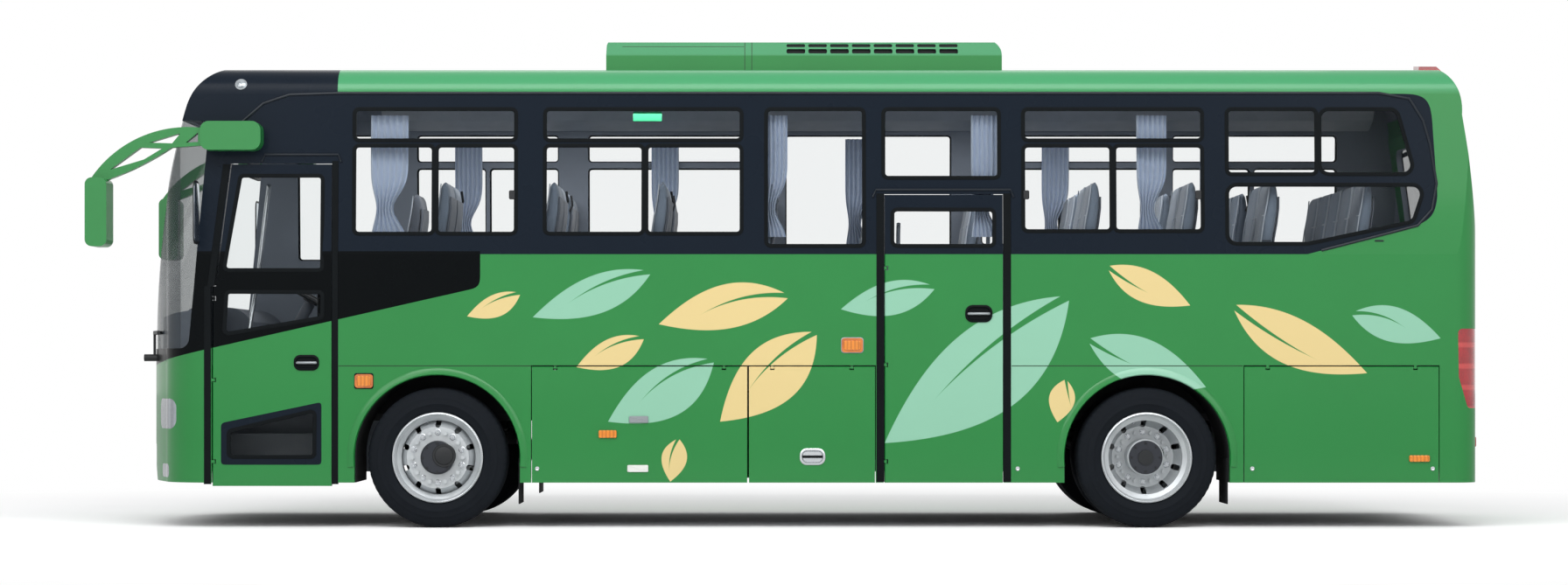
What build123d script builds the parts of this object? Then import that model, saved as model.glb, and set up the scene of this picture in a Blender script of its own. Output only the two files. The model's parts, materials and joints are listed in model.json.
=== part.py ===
from build123d import *
import os
from math import cos, radians, sin

# Electric coach, millimetres. Front is -X, rear is +X, the left side with the doors is -Y, +Z is up.
# The origin is on the ground under the middle of the overall box, mirrors included.

# Body shell: the nose is at nose_x, the stern at stern_x, and the tail panel starts at tail_x
body_width = 2450
half_width = body_width / 2
wall = 45
nose_x = -4363
stern_x = 4629
tail_x = stern_x - 294
skirt_z = 300
belt_z = 1812
band_top_z = 2878
crown_z = band_top_z + 227
eave_half = half_width - 47
seam = 0.3
reach = 1000 + stern_x
across = (-body_width, body_width)
upward = (0, 2 * crown_z)
door_gap = 6
hinge_gap = 8
hinge_inset = 9
hinge_pin = 5
hinge_lug = 8

# Running gear
front_axle_x = -2338
rear_axle_x = 2359
tyre_radius = 465
tyre_width = 250
rim_flange_radius = 300
track_half = half_width - 145
dual_spacing = 300
arch_radius = 548
arch_z = 478
arch_depth = 605
kingpin_half = track_half - 150
spindle_radius = 50
hub_radius = 135
steer_clearance = 0.3

# Chassis and floor
rail_half = 430
rail_width = 80
rail_bottom_z = 700
rail_height = 200
rail_front_x = -3950
rail_rear_x = stern_x - 279
floor_z = 1090
floor_thickness = 40
floor_half = half_width - 49
floor_rear_x = stern_x - 299
tread_count = 3
step_bottom_z = 380
step_inner_y = 740 - half_width

# Doors: the leaf edges along the coach, its foot and its head
front_door_x = (-3824, -3037)
front_door_z = (278, 2409)
front_door_lean = 124
front_door_knee_z = 1600
front_door_step = 2 * hinge_inset + door_gap
mid_door_x = (622, 1404)
mid_door_z = (300, 2206)

# Flaps hang from the crease
crease_z = 1077
bay_x = (-1717, -281, 564)
rear_flap_x = (2996, tail_x - 42)
left_flap_x = {"left_flap_front": bay_x[:2], "left_flap_centre": bay_x[1:], "left_flap_rear": rear_flap_x}
right_flap_x = {"right_flap_front": (bay_x[0], bay_x[2]), "right_flap_rear": rear_flap_x}
hood_half = half_width - 425
hood_z = (560, 1500)
hood_top_x = stern_x - 26

# Side windows: (front edge, rear edge, sill, head, divider or None). Under one undivided top light,
# a divider parts two sliding panes.
window_sill_z = 1951
window_head_z = band_top_z - 105
rail_top_z = window_head_z - 202
rail_low_z = rail_top_z - 41
mullion = 26
window_corner = 28
left_windows = (
    (-2886, -1821, window_sill_z, window_head_z, -2353),
    (-1624, -327, window_sill_z, window_head_z, -964),
    (-159, 483, 1870, window_head_z, None),
    (617, 1378, 2322, window_head_z, None),
    (1543, 2724, 1968, window_head_z, 2134),
)
# The last window of the left side narrows towards the stern: its corners in X and Z, from the lower front one
rear_lights = (
    ((2892, 2346), (2892, window_head_z), (3480, window_head_z), (3480, 2346)),
    ((3506, 2346), (3506, window_head_z), (4015, window_head_z), (4133, 2346)),
    ((2892, 1884), (2892, 2270), (4200, 2270), (4120, 2030), (3420, 1884)),
)
rear_light_radii = (28, 60, 60)
right_windows = (
    (-3600, -2990, 1850, window_head_z, None),
    (-2724, -1682, window_sill_z, window_head_z, -2203),
    (-1468, -240, window_sill_z, window_head_z, -854),
    (-20, 1200, 1870, window_head_z, None),
    (1421, 2602, 1968, window_head_z, 2012),
    (2823, 4033, 1968, window_head_z, 3407),
)
glass_depth = 4
glass_thickness = 6

# Roof pod of the climate unit
pod_x = (-1236, 1422)
pod_half = half_width - 335
pod_foot_z = crown_z - 115
pod_crease_z = crown_z + 55
pod_top_z = crown_z + 176
pod_corner_radii = (52, 106)
grille_x = (-35, 1140)
grille_columns = 8

# Seats
driver_y = half_width - 605
seat_back_top_z = 2330
pair_width = 900
pair_half = half_width - 535
left_rows_x = (-2600, -1876, -1152, -428, 1720, 2366, 2906)
right_rows_x = (-1876, -1152, -428, 296, 1020, 1744, 2366, 2906)
bench_x = 3540

os.makedirs("parts", exist_ok=True)


def save(name, *solids):
    pieces = [piece for shape in solids for piece in shape.solids()]
    shape = pieces[0] if len(pieces) == 1 else Compound(pieces)
    export_step(shape, os.path.join("parts", name + ".step"))


def block(x, y, z):
    size = (x[1] - x[0], y[1] - y[0], z[1] - z[0])
    centre = ((x[0] + x[1]) / 2, (y[0] + y[1]) / 2, (z[0] + z[1]) / 2)
    return Pos(*centre) * Box(*size)


def side_profile(face, y):
    # a face drawn in X and Z, carried from y[0] to y[1]
    return extrude(Plane.XZ.offset(-y[1]) * face, y[1] - y[0])


def cross_profile(face, x):
    # a face drawn in Y and Z, carried from x[0] to x[1]
    return extrude(Plane.YZ.offset(x[0]) * face, x[1] - x[0])


def plan_profile(face, z):
    return extrude(Plane.XY.offset(z[0]) * face, z[1] - z[0])


def outline(*edges):
    return make_face(Curve() + list(edges))


def rounded(x, z, radius):
    return Pos((x[0] + x[1]) / 2, (z[0] + z[1]) / 2) * RectangleRounded(x[1] - x[0], z[1] - z[0], radius)


def tube_y(radius, y, x, z):
    length = y[1] - y[0]
    return Pos(x, (y[0] + y[1]) / 2, z) * Rot(90, 0, 0) * Cylinder(radius, length)


def mirrored(shape):
    return mirror(shape, Plane.XZ)


# Body form: where a cross-section, a side outline and a plan outline meet


def section_face(inset):
    half = half_width - inset
    eave = eave_half - inset
    crown = crown_z - inset
    brim_z = crown - 55
    right = [
        Line((half, 0), (half, belt_z)),
        Line((half, belt_z), (eave, band_top_z)),
        ThreePointArc((eave, band_top_z), (eave - 55, brim_z - 50), (eave - 200, brim_z)),
        ThreePointArc((eave - 200, brim_z), (0, crown), (200 - eave, brim_z)),
    ]
    left = [
        ThreePointArc((200 - eave, brim_z), (55 - eave, brim_z - 50), (-eave, band_top_z)),
        Line((-eave, band_top_z), (-half, belt_z)),
        Line((-half, belt_z), (-half, 0)),
        Line((-half, 0), (half, 0)),
    ]
    return outline(*right, *left)


def flank_face(inset):
    nose = nose_x + inset
    tail = stern_x - inset
    top = crown_z + 20 - inset
    brow = (-4008 + inset, band_top_z - 97 - inset / 4)
    cap = (-3684 + inset / 3, crown_z - 31 - inset)
    stern = (tail - 179, band_top_z - 138 - inset / 4)
    brow_bend = (-3890 + inset * 0.7, band_top_z + 97 - inset * 0.7)
    stern_bend = (stern_x - 249 - inset * 0.7, band_top_z + 112 - inset * 0.7)
    return outline(
        Line((nose + 150, 0), (nose, 560)),
        Line((nose, 560), (nose, 944)),
        ThreePointArc((nose, 944), (-4240 + inset, 1880), brow),
        ThreePointArc(brow, brow_bend, cap),
        ThreePointArc(cap, (-3560, top - 20), (-3430, top)),
        Line((-3430, top), (stern_x - 449, top)),
        ThreePointArc((stern_x - 449, top), stern_bend, stern),
        ThreePointArc(stern, (tail - 69, 1930), (tail, 1060)),
        Line((tail, 1060), (tail, 500)),
        Line((tail, 500), (tail - 140, 0)),
        Line((tail - 140, 0), (nose + 150, 0)),
    )


def plan_face(inset):
    half = half_width - inset
    nose = nose_x - 20 + inset
    tail = stern_x + 6 - inset
    brow = (-4180 + inset, half_width - 265 - inset / 2)
    cheek = (-4085 + inset * 0.7, half_width - 95 - inset * 0.7)
    quarter = (stern_x - 119 - inset * 0.7, half_width - 45 - inset * 0.7)
    stern = (stern_x - 69 - inset, half_width - 165 - inset / 2)
    flat_x = (-3890, stern_x - 229)
    return outline(
        ThreePointArc(brow, (nose, 0), (brow[0], -brow[1])),
        ThreePointArc((brow[0], -brow[1]), (cheek[0], -cheek[1]), (flat_x[0], -half)),
        Line((flat_x[0], -half), (flat_x[1], -half)),
        ThreePointArc((flat_x[1], -half), (quarter[0], -quarter[1]), (stern[0], -stern[1])),
        ThreePointArc((stern[0], -stern[1]), (tail, 0), stern),
        ThreePointArc(stern, quarter, (flat_x[1], half)),
        Line((flat_x[1], half), (flat_x[0], half)),
        ThreePointArc((flat_x[0], half), cheek, brow),
    )


def body_form(inset):
    form = cross_profile(section_face(inset), (-reach, reach))
    form = form & side_profile(flank_face(inset), across)
    return form & plan_profile(plan_face(inset), upward)


outer_form = body_form(0)
inner_form = body_form(wall)
above_skirt = block((-reach, reach), across, (skirt_z, upward[1]))
shell = (outer_form - inner_form) & above_skirt
glass_sheet = body_form(glass_depth) - body_form(glass_depth + glass_thickness)

# Panels meet face to face along these cuts
cap_rear_x = -3002
mask_points = ((-reach, 0), (-3882, 0), (-3882, 1590), (-3790, band_top_z), (cap_rear_x, band_top_z))
mask_points += ((cap_rear_x, upward[1]), (-reach, upward[1]))
mask_space = side_profile(outline(Polyline(*mask_points, close=True)), across)
tail_space = block((tail_x, 2 * reach), across, upward)
roof_space = block((-reach, reach), across, (band_top_z, upward[1])) - mask_space - tail_space
left_space = block((-reach, reach), (-body_width, 0), (0, band_top_z)) - mask_space - tail_space
right_space = mirrored(left_space)


def side_of(left):
    side = (half_width - 225, half_width + 175)
    return (-side[1], -side[0]) if left else side


def window_faces(left):
    # every pane opening of a side
    faces = []
    for front, rear, sill, head, divider in left_windows if left else right_windows:
        if divider is None:
            faces.append(rounded((front, rear), (sill, head), window_corner))
            continue
        faces.append(rounded((front, rear), (rail_top_z, head), window_corner))
        for x in ((front, divider - mullion / 2), (divider + mullion / 2, rear)):
            faces.append(rounded(x, (sill, rail_low_z), window_corner))
    if left:
        for corners, radius in zip(rear_lights, rear_light_radii):
            face = outline(Polyline(*corners, close=True))
            faces.append(fillet(face.vertices(), radius))
    return faces


def arch_face(axle_x, radius):
    arc = ThreePointArc((axle_x - radius, arch_z), (axle_x, arch_z + radius), (axle_x + radius, arch_z))
    front, rear = axle_x - radius, axle_x + radius
    foot = Polyline((rear, arch_z), (rear, 0), (front, 0), (front, arch_z))
    return outline(arc, foot)


def door_face(x, z, grow, lean=0):
    # The front door's leading edge leans back with the pillar. It starts to lean at a shoulder, as a leaf
    # that turns on an upright pin needs its outer corner either close to the pin or well clear of it.
    low, high = z[0] - grow, z[1] + grow
    front, rear = x[0] - grow, x[1] + grow
    leading = [(front, low), (front, high)]
    if lean:
        knee_z = front_door_knee_z + grow
        leading = [(front, low), (front, knee_z), (front + front_door_step, knee_z), (front + lean, high)]
    return outline(Polyline(*leading, (rear, high), (rear, low), close=True))


front_leaf = door_face(front_door_x, front_door_z, 0, front_door_lean)
front_hole = door_face(front_door_x, front_door_z, door_gap, front_door_lean)
mid_leaf = door_face(mid_door_x, mid_door_z, 0)
mid_hole = door_face(mid_door_x, mid_door_z, door_gap)


def side_wall(space, flaps, left):
    y = side_of(left)
    panel = shell & space
    for face in window_faces(left):
        panel -= side_profile(face, y)
    for axle_x in (front_axle_x, rear_axle_x):
        panel -= side_profile(arch_face(axle_x, arch_radius), y)
    for x in flaps.values():
        panel -= block(x, y, (0, crease_z))
    if left:
        panel -= side_profile(front_hole, y)
        panel -= side_profile(mid_hole, y)
        for x, z in ((front_door_x, front_door_z), (mid_door_x, mid_door_z)):
            panel -= block((x[0] - door_gap, x[1] + door_gap), y, (0, z[0] + 100))
    return panel


# Hinges: a lug on the fixed panel reaches into a notch of the leaf, where the leaf's pin passes through it.
# They are drawn with the pin along +Z, the leaf towards +X and the outside towards -Y.
def hinge_lugs(plane, stations, gap):
    lug = block((-hinge_inset - gap - 3, 0), (-hinge_lug, hinge_lug), (-9, 9)) + Cylinder(hinge_lug, 18)
    lug -= Cylinder(hinge_pin + seam, 40)
    return Compound([plane * (Pos(0, 0, station) * lug) for station in stations])


def hang_leaf(leaf, plane, stations, length):
    relief = Pos(-hinge_inset, -hinge_inset, 0) * Rot(0, 0, 45) * Box(9, 9, length)
    leaf -= plane * relief
    for station in stations:
        leaf -= plane * (Pos(0, 0, station) * block((-20, 14), (-60, 60), (-15, 15)))
        leaf += plane * (Pos(0, 0, station) * Cylinder(hinge_pin, 44))
    return leaf


def door_hinge(x):
    axis = (x[0] + hinge_inset, hinge_inset - half_width, 0)
    return Plane(origin=axis, x_dir=(1, 0, 0), z_dir=(0, 0, 1))


def flap_hinge(x):
    axis = (sum(x) / 2, hinge_inset - half_width, crease_z - hinge_gap - hinge_inset)
    return Plane(origin=axis, x_dir=(0, 0, -1), z_dir=(1, 0, 0))


def flap_stations(x):
    half_span = (x[1] - x[0]) / 2 - 160
    return (-half_span, half_span)


front_door_hinges = (440, 980, 1520)
mid_door_hinges = (440, 1080, 1720)
left_wall = side_wall(left_space, left_flap_x, True)
right_wall = side_wall(right_space, right_flap_x, False)
left_wall += hinge_lugs(door_hinge(front_door_x), front_door_hinges, door_gap)
left_wall += hinge_lugs(door_hinge(mid_door_x), mid_door_hinges, door_gap)
for x in left_flap_x.values():
    left_wall += hinge_lugs(flap_hinge(x), flap_stations(x), hinge_gap)
for x in right_flap_x.values():
    right_wall += mirrored(hinge_lugs(flap_hinge(x), flap_stations(x), hinge_gap))
save("left_wall", left_wall)
save("right_wall", right_wall)
save("roof_shell", shell & roof_space)

# Front mask with the windscreen opening, lamp recesses and lower grille
# The screen wraps round to the pillars: its rear edge leans with them in the side view
screen_z = (1190, band_top_z - 178)
screen_rear = ((-3850, screen_z[1]), (-3950, 1590), (-3990, screen_z[0]))
screen_face = outline(Polyline((-reach, screen_z[0]), (-reach, screen_z[1]), *screen_rear, close=True))
screen_face = fillet(screen_face.vertices().sort_by(Axis.X)[2:], 70)
screen_hole = side_profile(screen_face, across)
nose_range = (-reach, -3950)
lamp_face = Pos(255 - half_width, 755) * RectangleRounded(330, 200, 60)
fog_face = Pos(265 - half_width, 375) * RectangleRounded(190, 90, 30)
lamp_holes = cross_profile(lamp_face, nose_range) + cross_profile(fog_face, nose_range)
lamp_holes += mirrored(lamp_holes)
grille_face = Pos(0, 470) * RectangleRounded(1100, 150, 40)
mask = (shell & mask_space) - screen_hole - lamp_holes - cross_profile(grille_face, nose_range)
save("front_mask", mask)

# Rear panel with its window and hood openings
stern_range = (stern_x - 229, 2 * reach)
rear_glass_face = Pos(0, 2330) * RectangleRounded(body_width - 550, 620, 90)
# the tail lamps wrap round the corners: their front edge is drawn in the side view
lamp_edge = ((-214, 1320), (-209, 1000), (-145, 793), (reach, 793), (reach, 1320))
tail_lamp_face = outline(Polyline(*[(stern_x + x, z) for x, z in lamp_edge], close=True))
tail_lamp_face = fillet(tail_lamp_face.vertices().sort_by(Axis.X)[:3], 30)
tail_lamp_y = (-half_width - 10, 215 - half_width)
tail_holes = side_profile(tail_lamp_face, tail_lamp_y)
tail_holes += mirrored(tail_holes)
hood_hole_half = hood_half + door_gap
hood_hole = block(stern_range, (-hood_hole_half, hood_hole_half), (hood_z[0] - door_gap, hood_z[1]))
hood_axis = (hood_top_x - hinge_inset, 0, hood_z[1] - hinge_gap - hinge_inset)
hood_hinge = Plane(origin=hood_axis, x_dir=(0, 0, -1), z_dir=(0, 1, 0))
hood_stations = (280 - hood_half, hood_half - 280)
tail = (shell & tail_space) - cross_profile(rear_glass_face, stern_range) - hood_hole - tail_holes
tail += hinge_lugs(hood_hinge, hood_stations, hinge_gap)
save("rear_panel", tail)

# Glass
windscreen = glass_sheet & side_profile(offset(screen_face, -seam), across)
save("windscreen", windscreen)
panes = []
for left in (True, False):
    for face in window_faces(left):
        panes.append(glass_sheet & side_profile(offset(face, -seam), side_of(left)))
panes.append(glass_sheet & cross_profile(offset(rear_glass_face, -seam), stern_range))
save("window_glass", *panes)

# Doors: a leaf with two lights, cut from the same shell so that it lies flush
front_lights = [
    outline(Polyline((-3745, 1710), (-3640, 2330), (-3100, 2330), (-3100, 1710), close=True)),
    outline(Polyline((-3745, 1285), (-3730, 1560), (-3100, 1560), (-3100, 1395), close=True)),
    outline(Polyline((-3714, 473), (-3714, 640), (-3150, 775), (-3150, 473), close=True)),
]
front_lights = [fillet(face.vertices(), 24) for face in front_lights]
mid_lights = [rounded((676, 1345), (1870, 2106), 30)]
door_shell = outer_form - inner_form


def door(name, leaf, lights, x, z, stations):
    body = door_shell & side_profile(leaf, side_of(True))
    body = hang_leaf(body, door_hinge(x), stations, 2 * crown_z)
    for face in lights:
        body -= side_profile(face, side_of(True))
    bar_x = x[1] - 90
    bar_y = 85 - half_width
    for height in (700, 1400):
        body += tube_y(14, (bar_y - 50, bar_y), bar_x, z[0] + height)
    body += Pos(bar_x, bar_y, z[0] + 1050) * Cylinder(15, 760)
    save(name, body)
    glass = [glass_sheet & side_profile(offset(face, -seam), side_of(True)) for face in lights]
    save(name + "_glass", *glass)


door("front_door", front_leaf, front_lights, front_door_x, front_door_z, front_door_hinges)
door("mid_door", mid_leaf, mid_lights, mid_door_x, mid_door_z, mid_door_hinges)

# Flaps and the rear hood
for flaps, left in ((left_flap_x, True), (right_flap_x, False)):
    for name, x in flaps.items():
        z = (skirt_z, crease_z - hinge_gap)
        flap = shell & block((x[0] + door_gap, x[1] - door_gap), side_of(True), z)
        flap = hang_leaf(flap, flap_hinge(x), flap_stations(x), body_width * 2)
        save(name, flap if left else mirrored(flap))
hood = shell & block(stern_range, (-hood_half, hood_half), (hood_z[0], hood_z[1] - hinge_gap))
save("rear_hood", hang_leaf(hood, hood_hinge, hood_stations, body_width))


# Lamps fill their recesses flush with the shell
def flush(recess):
    lens = shell & recess
    return [lens, mirrored(lens)]


head_lens = cross_profile(offset(lamp_face, -seam), nose_range)
fog_lens = cross_profile(offset(fog_face, -seam), nose_range)
save("headlamps", *flush(head_lens), *flush(fog_lens))
tail_lens = side_profile(offset(tail_lamp_face, -seam), (tail_lamp_y[0], tail_lamp_y[1] - seam))
signal_lamps = flush(tail_lens)
# side lamps: X, Z, width, height
side_lamp_places = ((-2822, 973, 120, 90), (408, 1210, 140, 95))
for x, z, width, height in side_lamp_places:
    lamp = side_profile(Pos(x, z) * RectangleRounded(width, height, 20), (-half_width - 9, -half_width))
    signal_lamps += [lamp, mirrored(lamp)]
# high lamps follow the curve of the rear roof corners
high_lamp_y = (270 - half_width, 450 - half_width)
high_lamp = body_form(-24) - outer_form
high_lamp &= block((stern_x - 420, stern_x - 272), high_lamp_y, (band_top_z - 38, upward[1]))
signal_lamps += [high_lamp, mirrored(high_lamp)]
save("signal_lamps", *signal_lamps)

# Ladder frame: two channel rails, tubes between them and beams that carry the floor and meet the walls
rail_x = (rail_front_x, rail_rear_x)
rail_z = (rail_bottom_z, rail_bottom_z + rail_height)
rail_web = 14
rail_y = (-rail_half - rail_width / 2, -rail_half + rail_width / 2)
rail = block(rail_x, rail_y, rail_z)
rail -= block(rail_x, (rail_y[0] + rail_web, 0), (rail_z[0] + rail_web, rail_z[1] - rail_web))
frame = [rail, mirrored(rail)]
cross_tube_x = (-3700, -2950, -1500, -300, 900, 1900, 3000, rail_rear_x - 150)
tube_end = rail_half + rail_width / 2 - rail_web - seam
for x in cross_tube_x:
    frame.append(tube_y(45, (-tube_end, tube_end), x, rail_bottom_z + rail_height / 2))
beam_z = (rail_z[1] + seam, floor_z - floor_thickness)
wall_inner = half_width - wall
beam_places = (
    (-2950, wall_inner, wall_inner),
    (-1753, wall_inner, wall_inner),
    (-700, floor_half, floor_half),
    (350, floor_half, floor_half),
    (1500, wall_inner, wall_inner),
    (2950, wall_inner, wall_inner),
    (3600, floor_half, floor_half),
    (rail_rear_x - 150, floor_half, floor_half),
)
for x, left, right in beam_places:
    frame.append(block((x - 25, x + 25), (-left, right), beam_z))
save("chassis_frame", *frame)

# Floor plates with the step wells hung between them: treads and risers inside two cheeks
well_gap = 12
tread_depth = (step_inner_y + wall_inner - well_gap) / tread_count
step_rise = (floor_z - step_bottom_z) / tread_count
plate = 10
floor_z_range = (floor_z - floor_thickness, floor_z)
floor_nose = ((-4285, 350), (-4130, floor_half - 256), (-4045, floor_half - 86), (-3895, floor_half))
floor_edge = [*floor_nose, (floor_rear_x, floor_half)]
floor_edge += [(x, -y) for x, y in reversed(floor_edge)]
floor = plan_profile(outline(Polyline(*floor_edge, close=True)), floor_z_range)


def step_well(well_x):
    plates = []
    cheek_y = (-wall_inner + well_gap, step_inner_y)
    cheek_z = (step_bottom_z - plate, floor_z_range[0] - seam)
    for x in (well_x[0] - plate, well_x[1]):
        plates.append(block((x, x + plate), cheek_y, cheek_z))
    inside_x = (well_x[0] + seam, well_x[1] - seam)
    for step in range(tread_count):
        y = cheek_y[0] + step * tread_depth
        z = step_bottom_z + step * step_rise
        plates.append(block(inside_x, (y, y + tread_depth - seam), (z - plate, z)))
        riser_z = (z - plate, z + step_rise - plate - seam)
        if step == tread_count - 1:
            riser_z = (z - plate, cheek_z[1])
        plates.append(block(inside_x, (y + tread_depth, y + tread_depth + plate), riser_z))
    return plates


deck = []
plate_front = -reach
for x in (front_door_x, mid_door_x):
    well_x = (x[0] + well_gap, x[1] - well_gap)
    deck.append(floor & block((plate_front, well_x[0]), across, floor_z_range))
    beside_x = (well_x[0] + seam, well_x[1] - seam)
    deck.append(floor & block(beside_x, (step_inner_y, body_width), floor_z_range))
    deck += step_well(well_x)
    plate_front = well_x[1]
deck.append(floor & block((plate_front, reach), across, floor_z_range))

# Luggage tubs between the wheels, hung on the rails: a bottom, a back and two ends
tub_x = (bay_x[0] + 14, bay_x[2] - 14)
tub_y = (-wall_inner + well_gap, -rail_half - rail_width / 2)
tub_z = (skirt_z + 30, rail_z[1] - 10)
side_z = (tub_z[0] + plate + seam, tub_z[1])
tub = [block(tub_x, tub_y, (tub_z[0], tub_z[0] + plate))]
tub.append(block(tub_x, (tub_y[1] - plate, tub_y[1]), side_z))
for x in (tub_x[0], tub_x[1] - plate):
    tub.append(block((x, x + plate), (tub_y[0], tub_y[1] - plate - seam), side_z))
save("floor_deck", *deck, *tub, *[mirrored(side) for side in tub])

# Wheel houses line the arches
liner = []
for axle_x in (front_axle_x, rear_axle_x):
    ring = arch_face(axle_x, arch_radius + 1.3) - arch_face(axle_x, arch_radius - 6)
    foot = Pos(axle_x, skirt_z / 2) * Rectangle(3000, skirt_z)
    ring = side_profile(ring - foot, (-wall_inner, -arch_depth))
    back = Pos(axle_x, 250) * Rectangle(3000, 1000)
    back = side_profile(arch_face(axle_x, arch_radius + 1.3) - back, (-arch_depth, -arch_depth + 8))
    house = ring + back
    liner += [house, mirrored(house)]
save("wheel_arches", *liner)

# Rubber mudflaps hang from the rear feet of the wheel houses
flaps_rubber = []
flap_low_z = 156
for axle_x in (front_axle_x, rear_axle_x):
    x = axle_x + arch_radius - 6
    sheet = block((x - 8, x), (60 - half_width, 425 - half_width), (flap_low_z, arch_z - 20))
    flaps_rubber += [sheet, mirrored(sheet)]
save("mudflaps", *flaps_rubber)

# Battery packs sit behind the rear flaps and between the rails
pack_x = (rear_flap_x[0] + 20, rear_flap_x[1] - 20)
pack = block(pack_x, (-wall_inner + 30, tub_y[1]), (skirt_z + 70, rail_z[1]))
pack_half = rail_half - rail_width / 2
centre_pack = block((-1400, 800), (-pack_half, pack_half), (skirt_z + 130, rail_z[0] + 40))
save("battery_packs", pack, mirrored(pack), centre_pack)

# Axles with their bellows; the front beam ends in kingpin eyes
eye_z = (405, 525)
eye_radius = 48
kingpin_radius = 22
bellows_radius = 105
bellows_offset = 300
arm_z = (520, 556)


def bellows(axle_x):
    parts = []
    for offset_x in (-bellows_offset, bellows_offset):
        height = rail_bottom_z - arm_z[1]
        lobe = Cylinder(bellows_radius, height) - Torus(bellows_radius + 4, 14)
        parts.append(Pos(axle_x + offset_x, -rail_half, arm_z[1] + height / 2) * lobe)
    return parts


def spring_arms(axle_x):
    reach = bellows_offset + bellows_radius
    arm = block((axle_x - reach, axle_x + reach), (-rail_half - 50, -rail_half + 50), arm_z)
    return arm + mirrored(arm)


half_beam = outline(
    Line((0, 350), (620, 350)),
    Line((620, 350), (760, eye_z[0] + 5)),
    Line((760, eye_z[0] + 5), (kingpin_half, eye_z[0] + 5)),
    Line((kingpin_half, eye_z[0] + 5), (kingpin_half, eye_z[1] - 5)),
    Line((kingpin_half, eye_z[1] - 5), (700, eye_z[1] - 5)),
    Line((700, eye_z[1] - 5), (560, 450)),
    Line((560, 450), (0, 450)),
    Line((0, 450), (0, 350)),
)
beam = cross_profile(half_beam, (front_axle_x - 40, front_axle_x + 40))
beam += mirrored(beam)
for side in (-1, 1):
    eye = Pos(front_axle_x, side * kingpin_half, sum(eye_z) / 2)
    beam += eye * Cylinder(eye_radius, eye_z[1] - eye_z[0])
    beam -= eye * Cylinder(kingpin_radius + steer_clearance, 200)
    saddle = block((front_axle_x - 60, front_axle_x + 60), (-60, 60), (440, arm_z[0]))
    beam += Pos(0, side * rail_half, 0) * saddle
beam += spring_arms(front_axle_x)
front_bellows = bellows(front_axle_x)
front_bellows += [mirrored(lobe) for lobe in front_bellows]
save("front_axle", beam, *front_bellows)

wheel_z = tyre_radius
spindle_end = 1150
housing = tube_y(72, (-872, 872), rear_axle_x, wheel_z)
housing += tube_y(spindle_radius, (-spindle_end, spindle_end), rear_axle_x, wheel_z)
housing += Pos(rear_axle_x, 0, wheel_z) * Sphere(185)
housing += Pos(rear_axle_x - 200, 0, wheel_z) * Rot(0, 90, 0) * Cone(90, 120, 160)
housing += spring_arms(rear_axle_x)
motor = Pos(1590, 0, 620) * Rot(0, 90, 0) * Cylinder(190, 520)
motor_feet_half = rail_half - 40
motor_feet_z = (rail_bottom_z + 20, rail_bottom_z + 60)
motor_feet = block((1400, 1780), (-motor_feet_half, motor_feet_half), motor_feet_z)
shaft_start = Vector(1850, 0, 600)
shaft_end = Vector(rear_axle_x - 280, 0, wheel_z)
shaft_axis = shaft_end - shaft_start
shaft_plane = Plane(origin=shaft_start, z_dir=shaft_axis)
shaft = shaft_plane * Pos(0, 0, shaft_axis.length / 2) * Cylinder(38, shaft_axis.length)
rear_bellows = bellows(rear_axle_x)
rear_bellows += [mirrored(lobe) for lobe in rear_bellows]
save("rear_axle", housing + shaft + motor + motor_feet, *rear_bellows)


# Wheels are turned about an axis through the tyre's middle plane; +Z of the drawing points outboard
def tyre_ring():
    # bead, flank, belly, shoulder and tread edge of one side, then the other side
    bead = rim_flange_radius - 14.7
    belly = tyre_width / 2
    side = [(bead, 98), (rim_flange_radius + 6, 112), (rim_flange_radius + 78, belly)]
    side += [(tyre_radius - 28, belly - 8), (tyre_radius, belly - 28)]
    other = [(r, -z) for r, z in reversed(side)]
    return revolve(Plane.XZ * outline(Polyline(*side, *other, close=True)), Axis.Z)


def rim_barrel():
    lip = rim_flange_radius
    seat = lip - 15
    gauge = 9
    well = seat - 30
    outer = [(lip, 116), (seat, 100), (seat, 62), (well, 44)]
    outer += [(well, -30), (seat, -62), (seat, -100), (lip, -116)]
    inner = [(r - gauge, z) for r, z in reversed(outer)]
    inner[0] = (lip - gauge, -122)
    inner[-1] = (lip - gauge, 122)
    face = outline(Polyline(*outer, *inner, close=True))
    return revolve(Plane.XZ * face, Axis.Z)


hand_holes = 10
stud_circle = 167.5
stud_count = 10


def wheel_disc(mount, rise, bore):
    # a dished steel disc from the barrel to the mounting face, with hand holes round it
    gauge = 12
    outer_r = rim_flange_radius - 48
    sign = 1 if mount > rise else -1
    outer = [(outer_r, rise), (228, rise + (mount - rise) * 0.55), (205, mount), (bore, mount)]
    inner = [(r, z - sign * gauge) for r, z in reversed(outer)]
    face = outline(Polyline(*outer, *inner, close=True))
    disc = revolve(Plane.XZ * face, Axis.Z)
    hole = Pos(226, 0, 0) * extrude(SlotOverall(56, 36), 500, both=True)
    for turn in range(hand_holes):
        disc -= Rot(0, 0, 360 / hand_holes * (turn + 0.5)) * hole
    return disc


def hub_with_studs(foot, face, cap, radius):
    # foot and cap are the hub's ends, face is where the wheel nuts sit
    hub = Pos(0, 0, (foot + cap) / 2) * Cylinder(radius, cap - foot)
    hub = chamfer(hub.faces().sort_by(Axis.Z)[-1].edges(), 12)
    stud = Cylinder(11, 44, align=(Align.CENTER, Align.CENTER, Align.MIN))
    nut = extrude(RegularPolygon(17, 6), 26) + stud
    for turn in range(stud_count):
        hub += Rot(0, 0, 360 / stud_count * turn) * Pos(stud_circle, 0, face) * nut
    return hub


def place_wheel(shape, axle_x, side, half):
    return Pos(axle_x, side * half, wheel_z) * Rot(-90 * side, 0, 0) * shape


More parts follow.
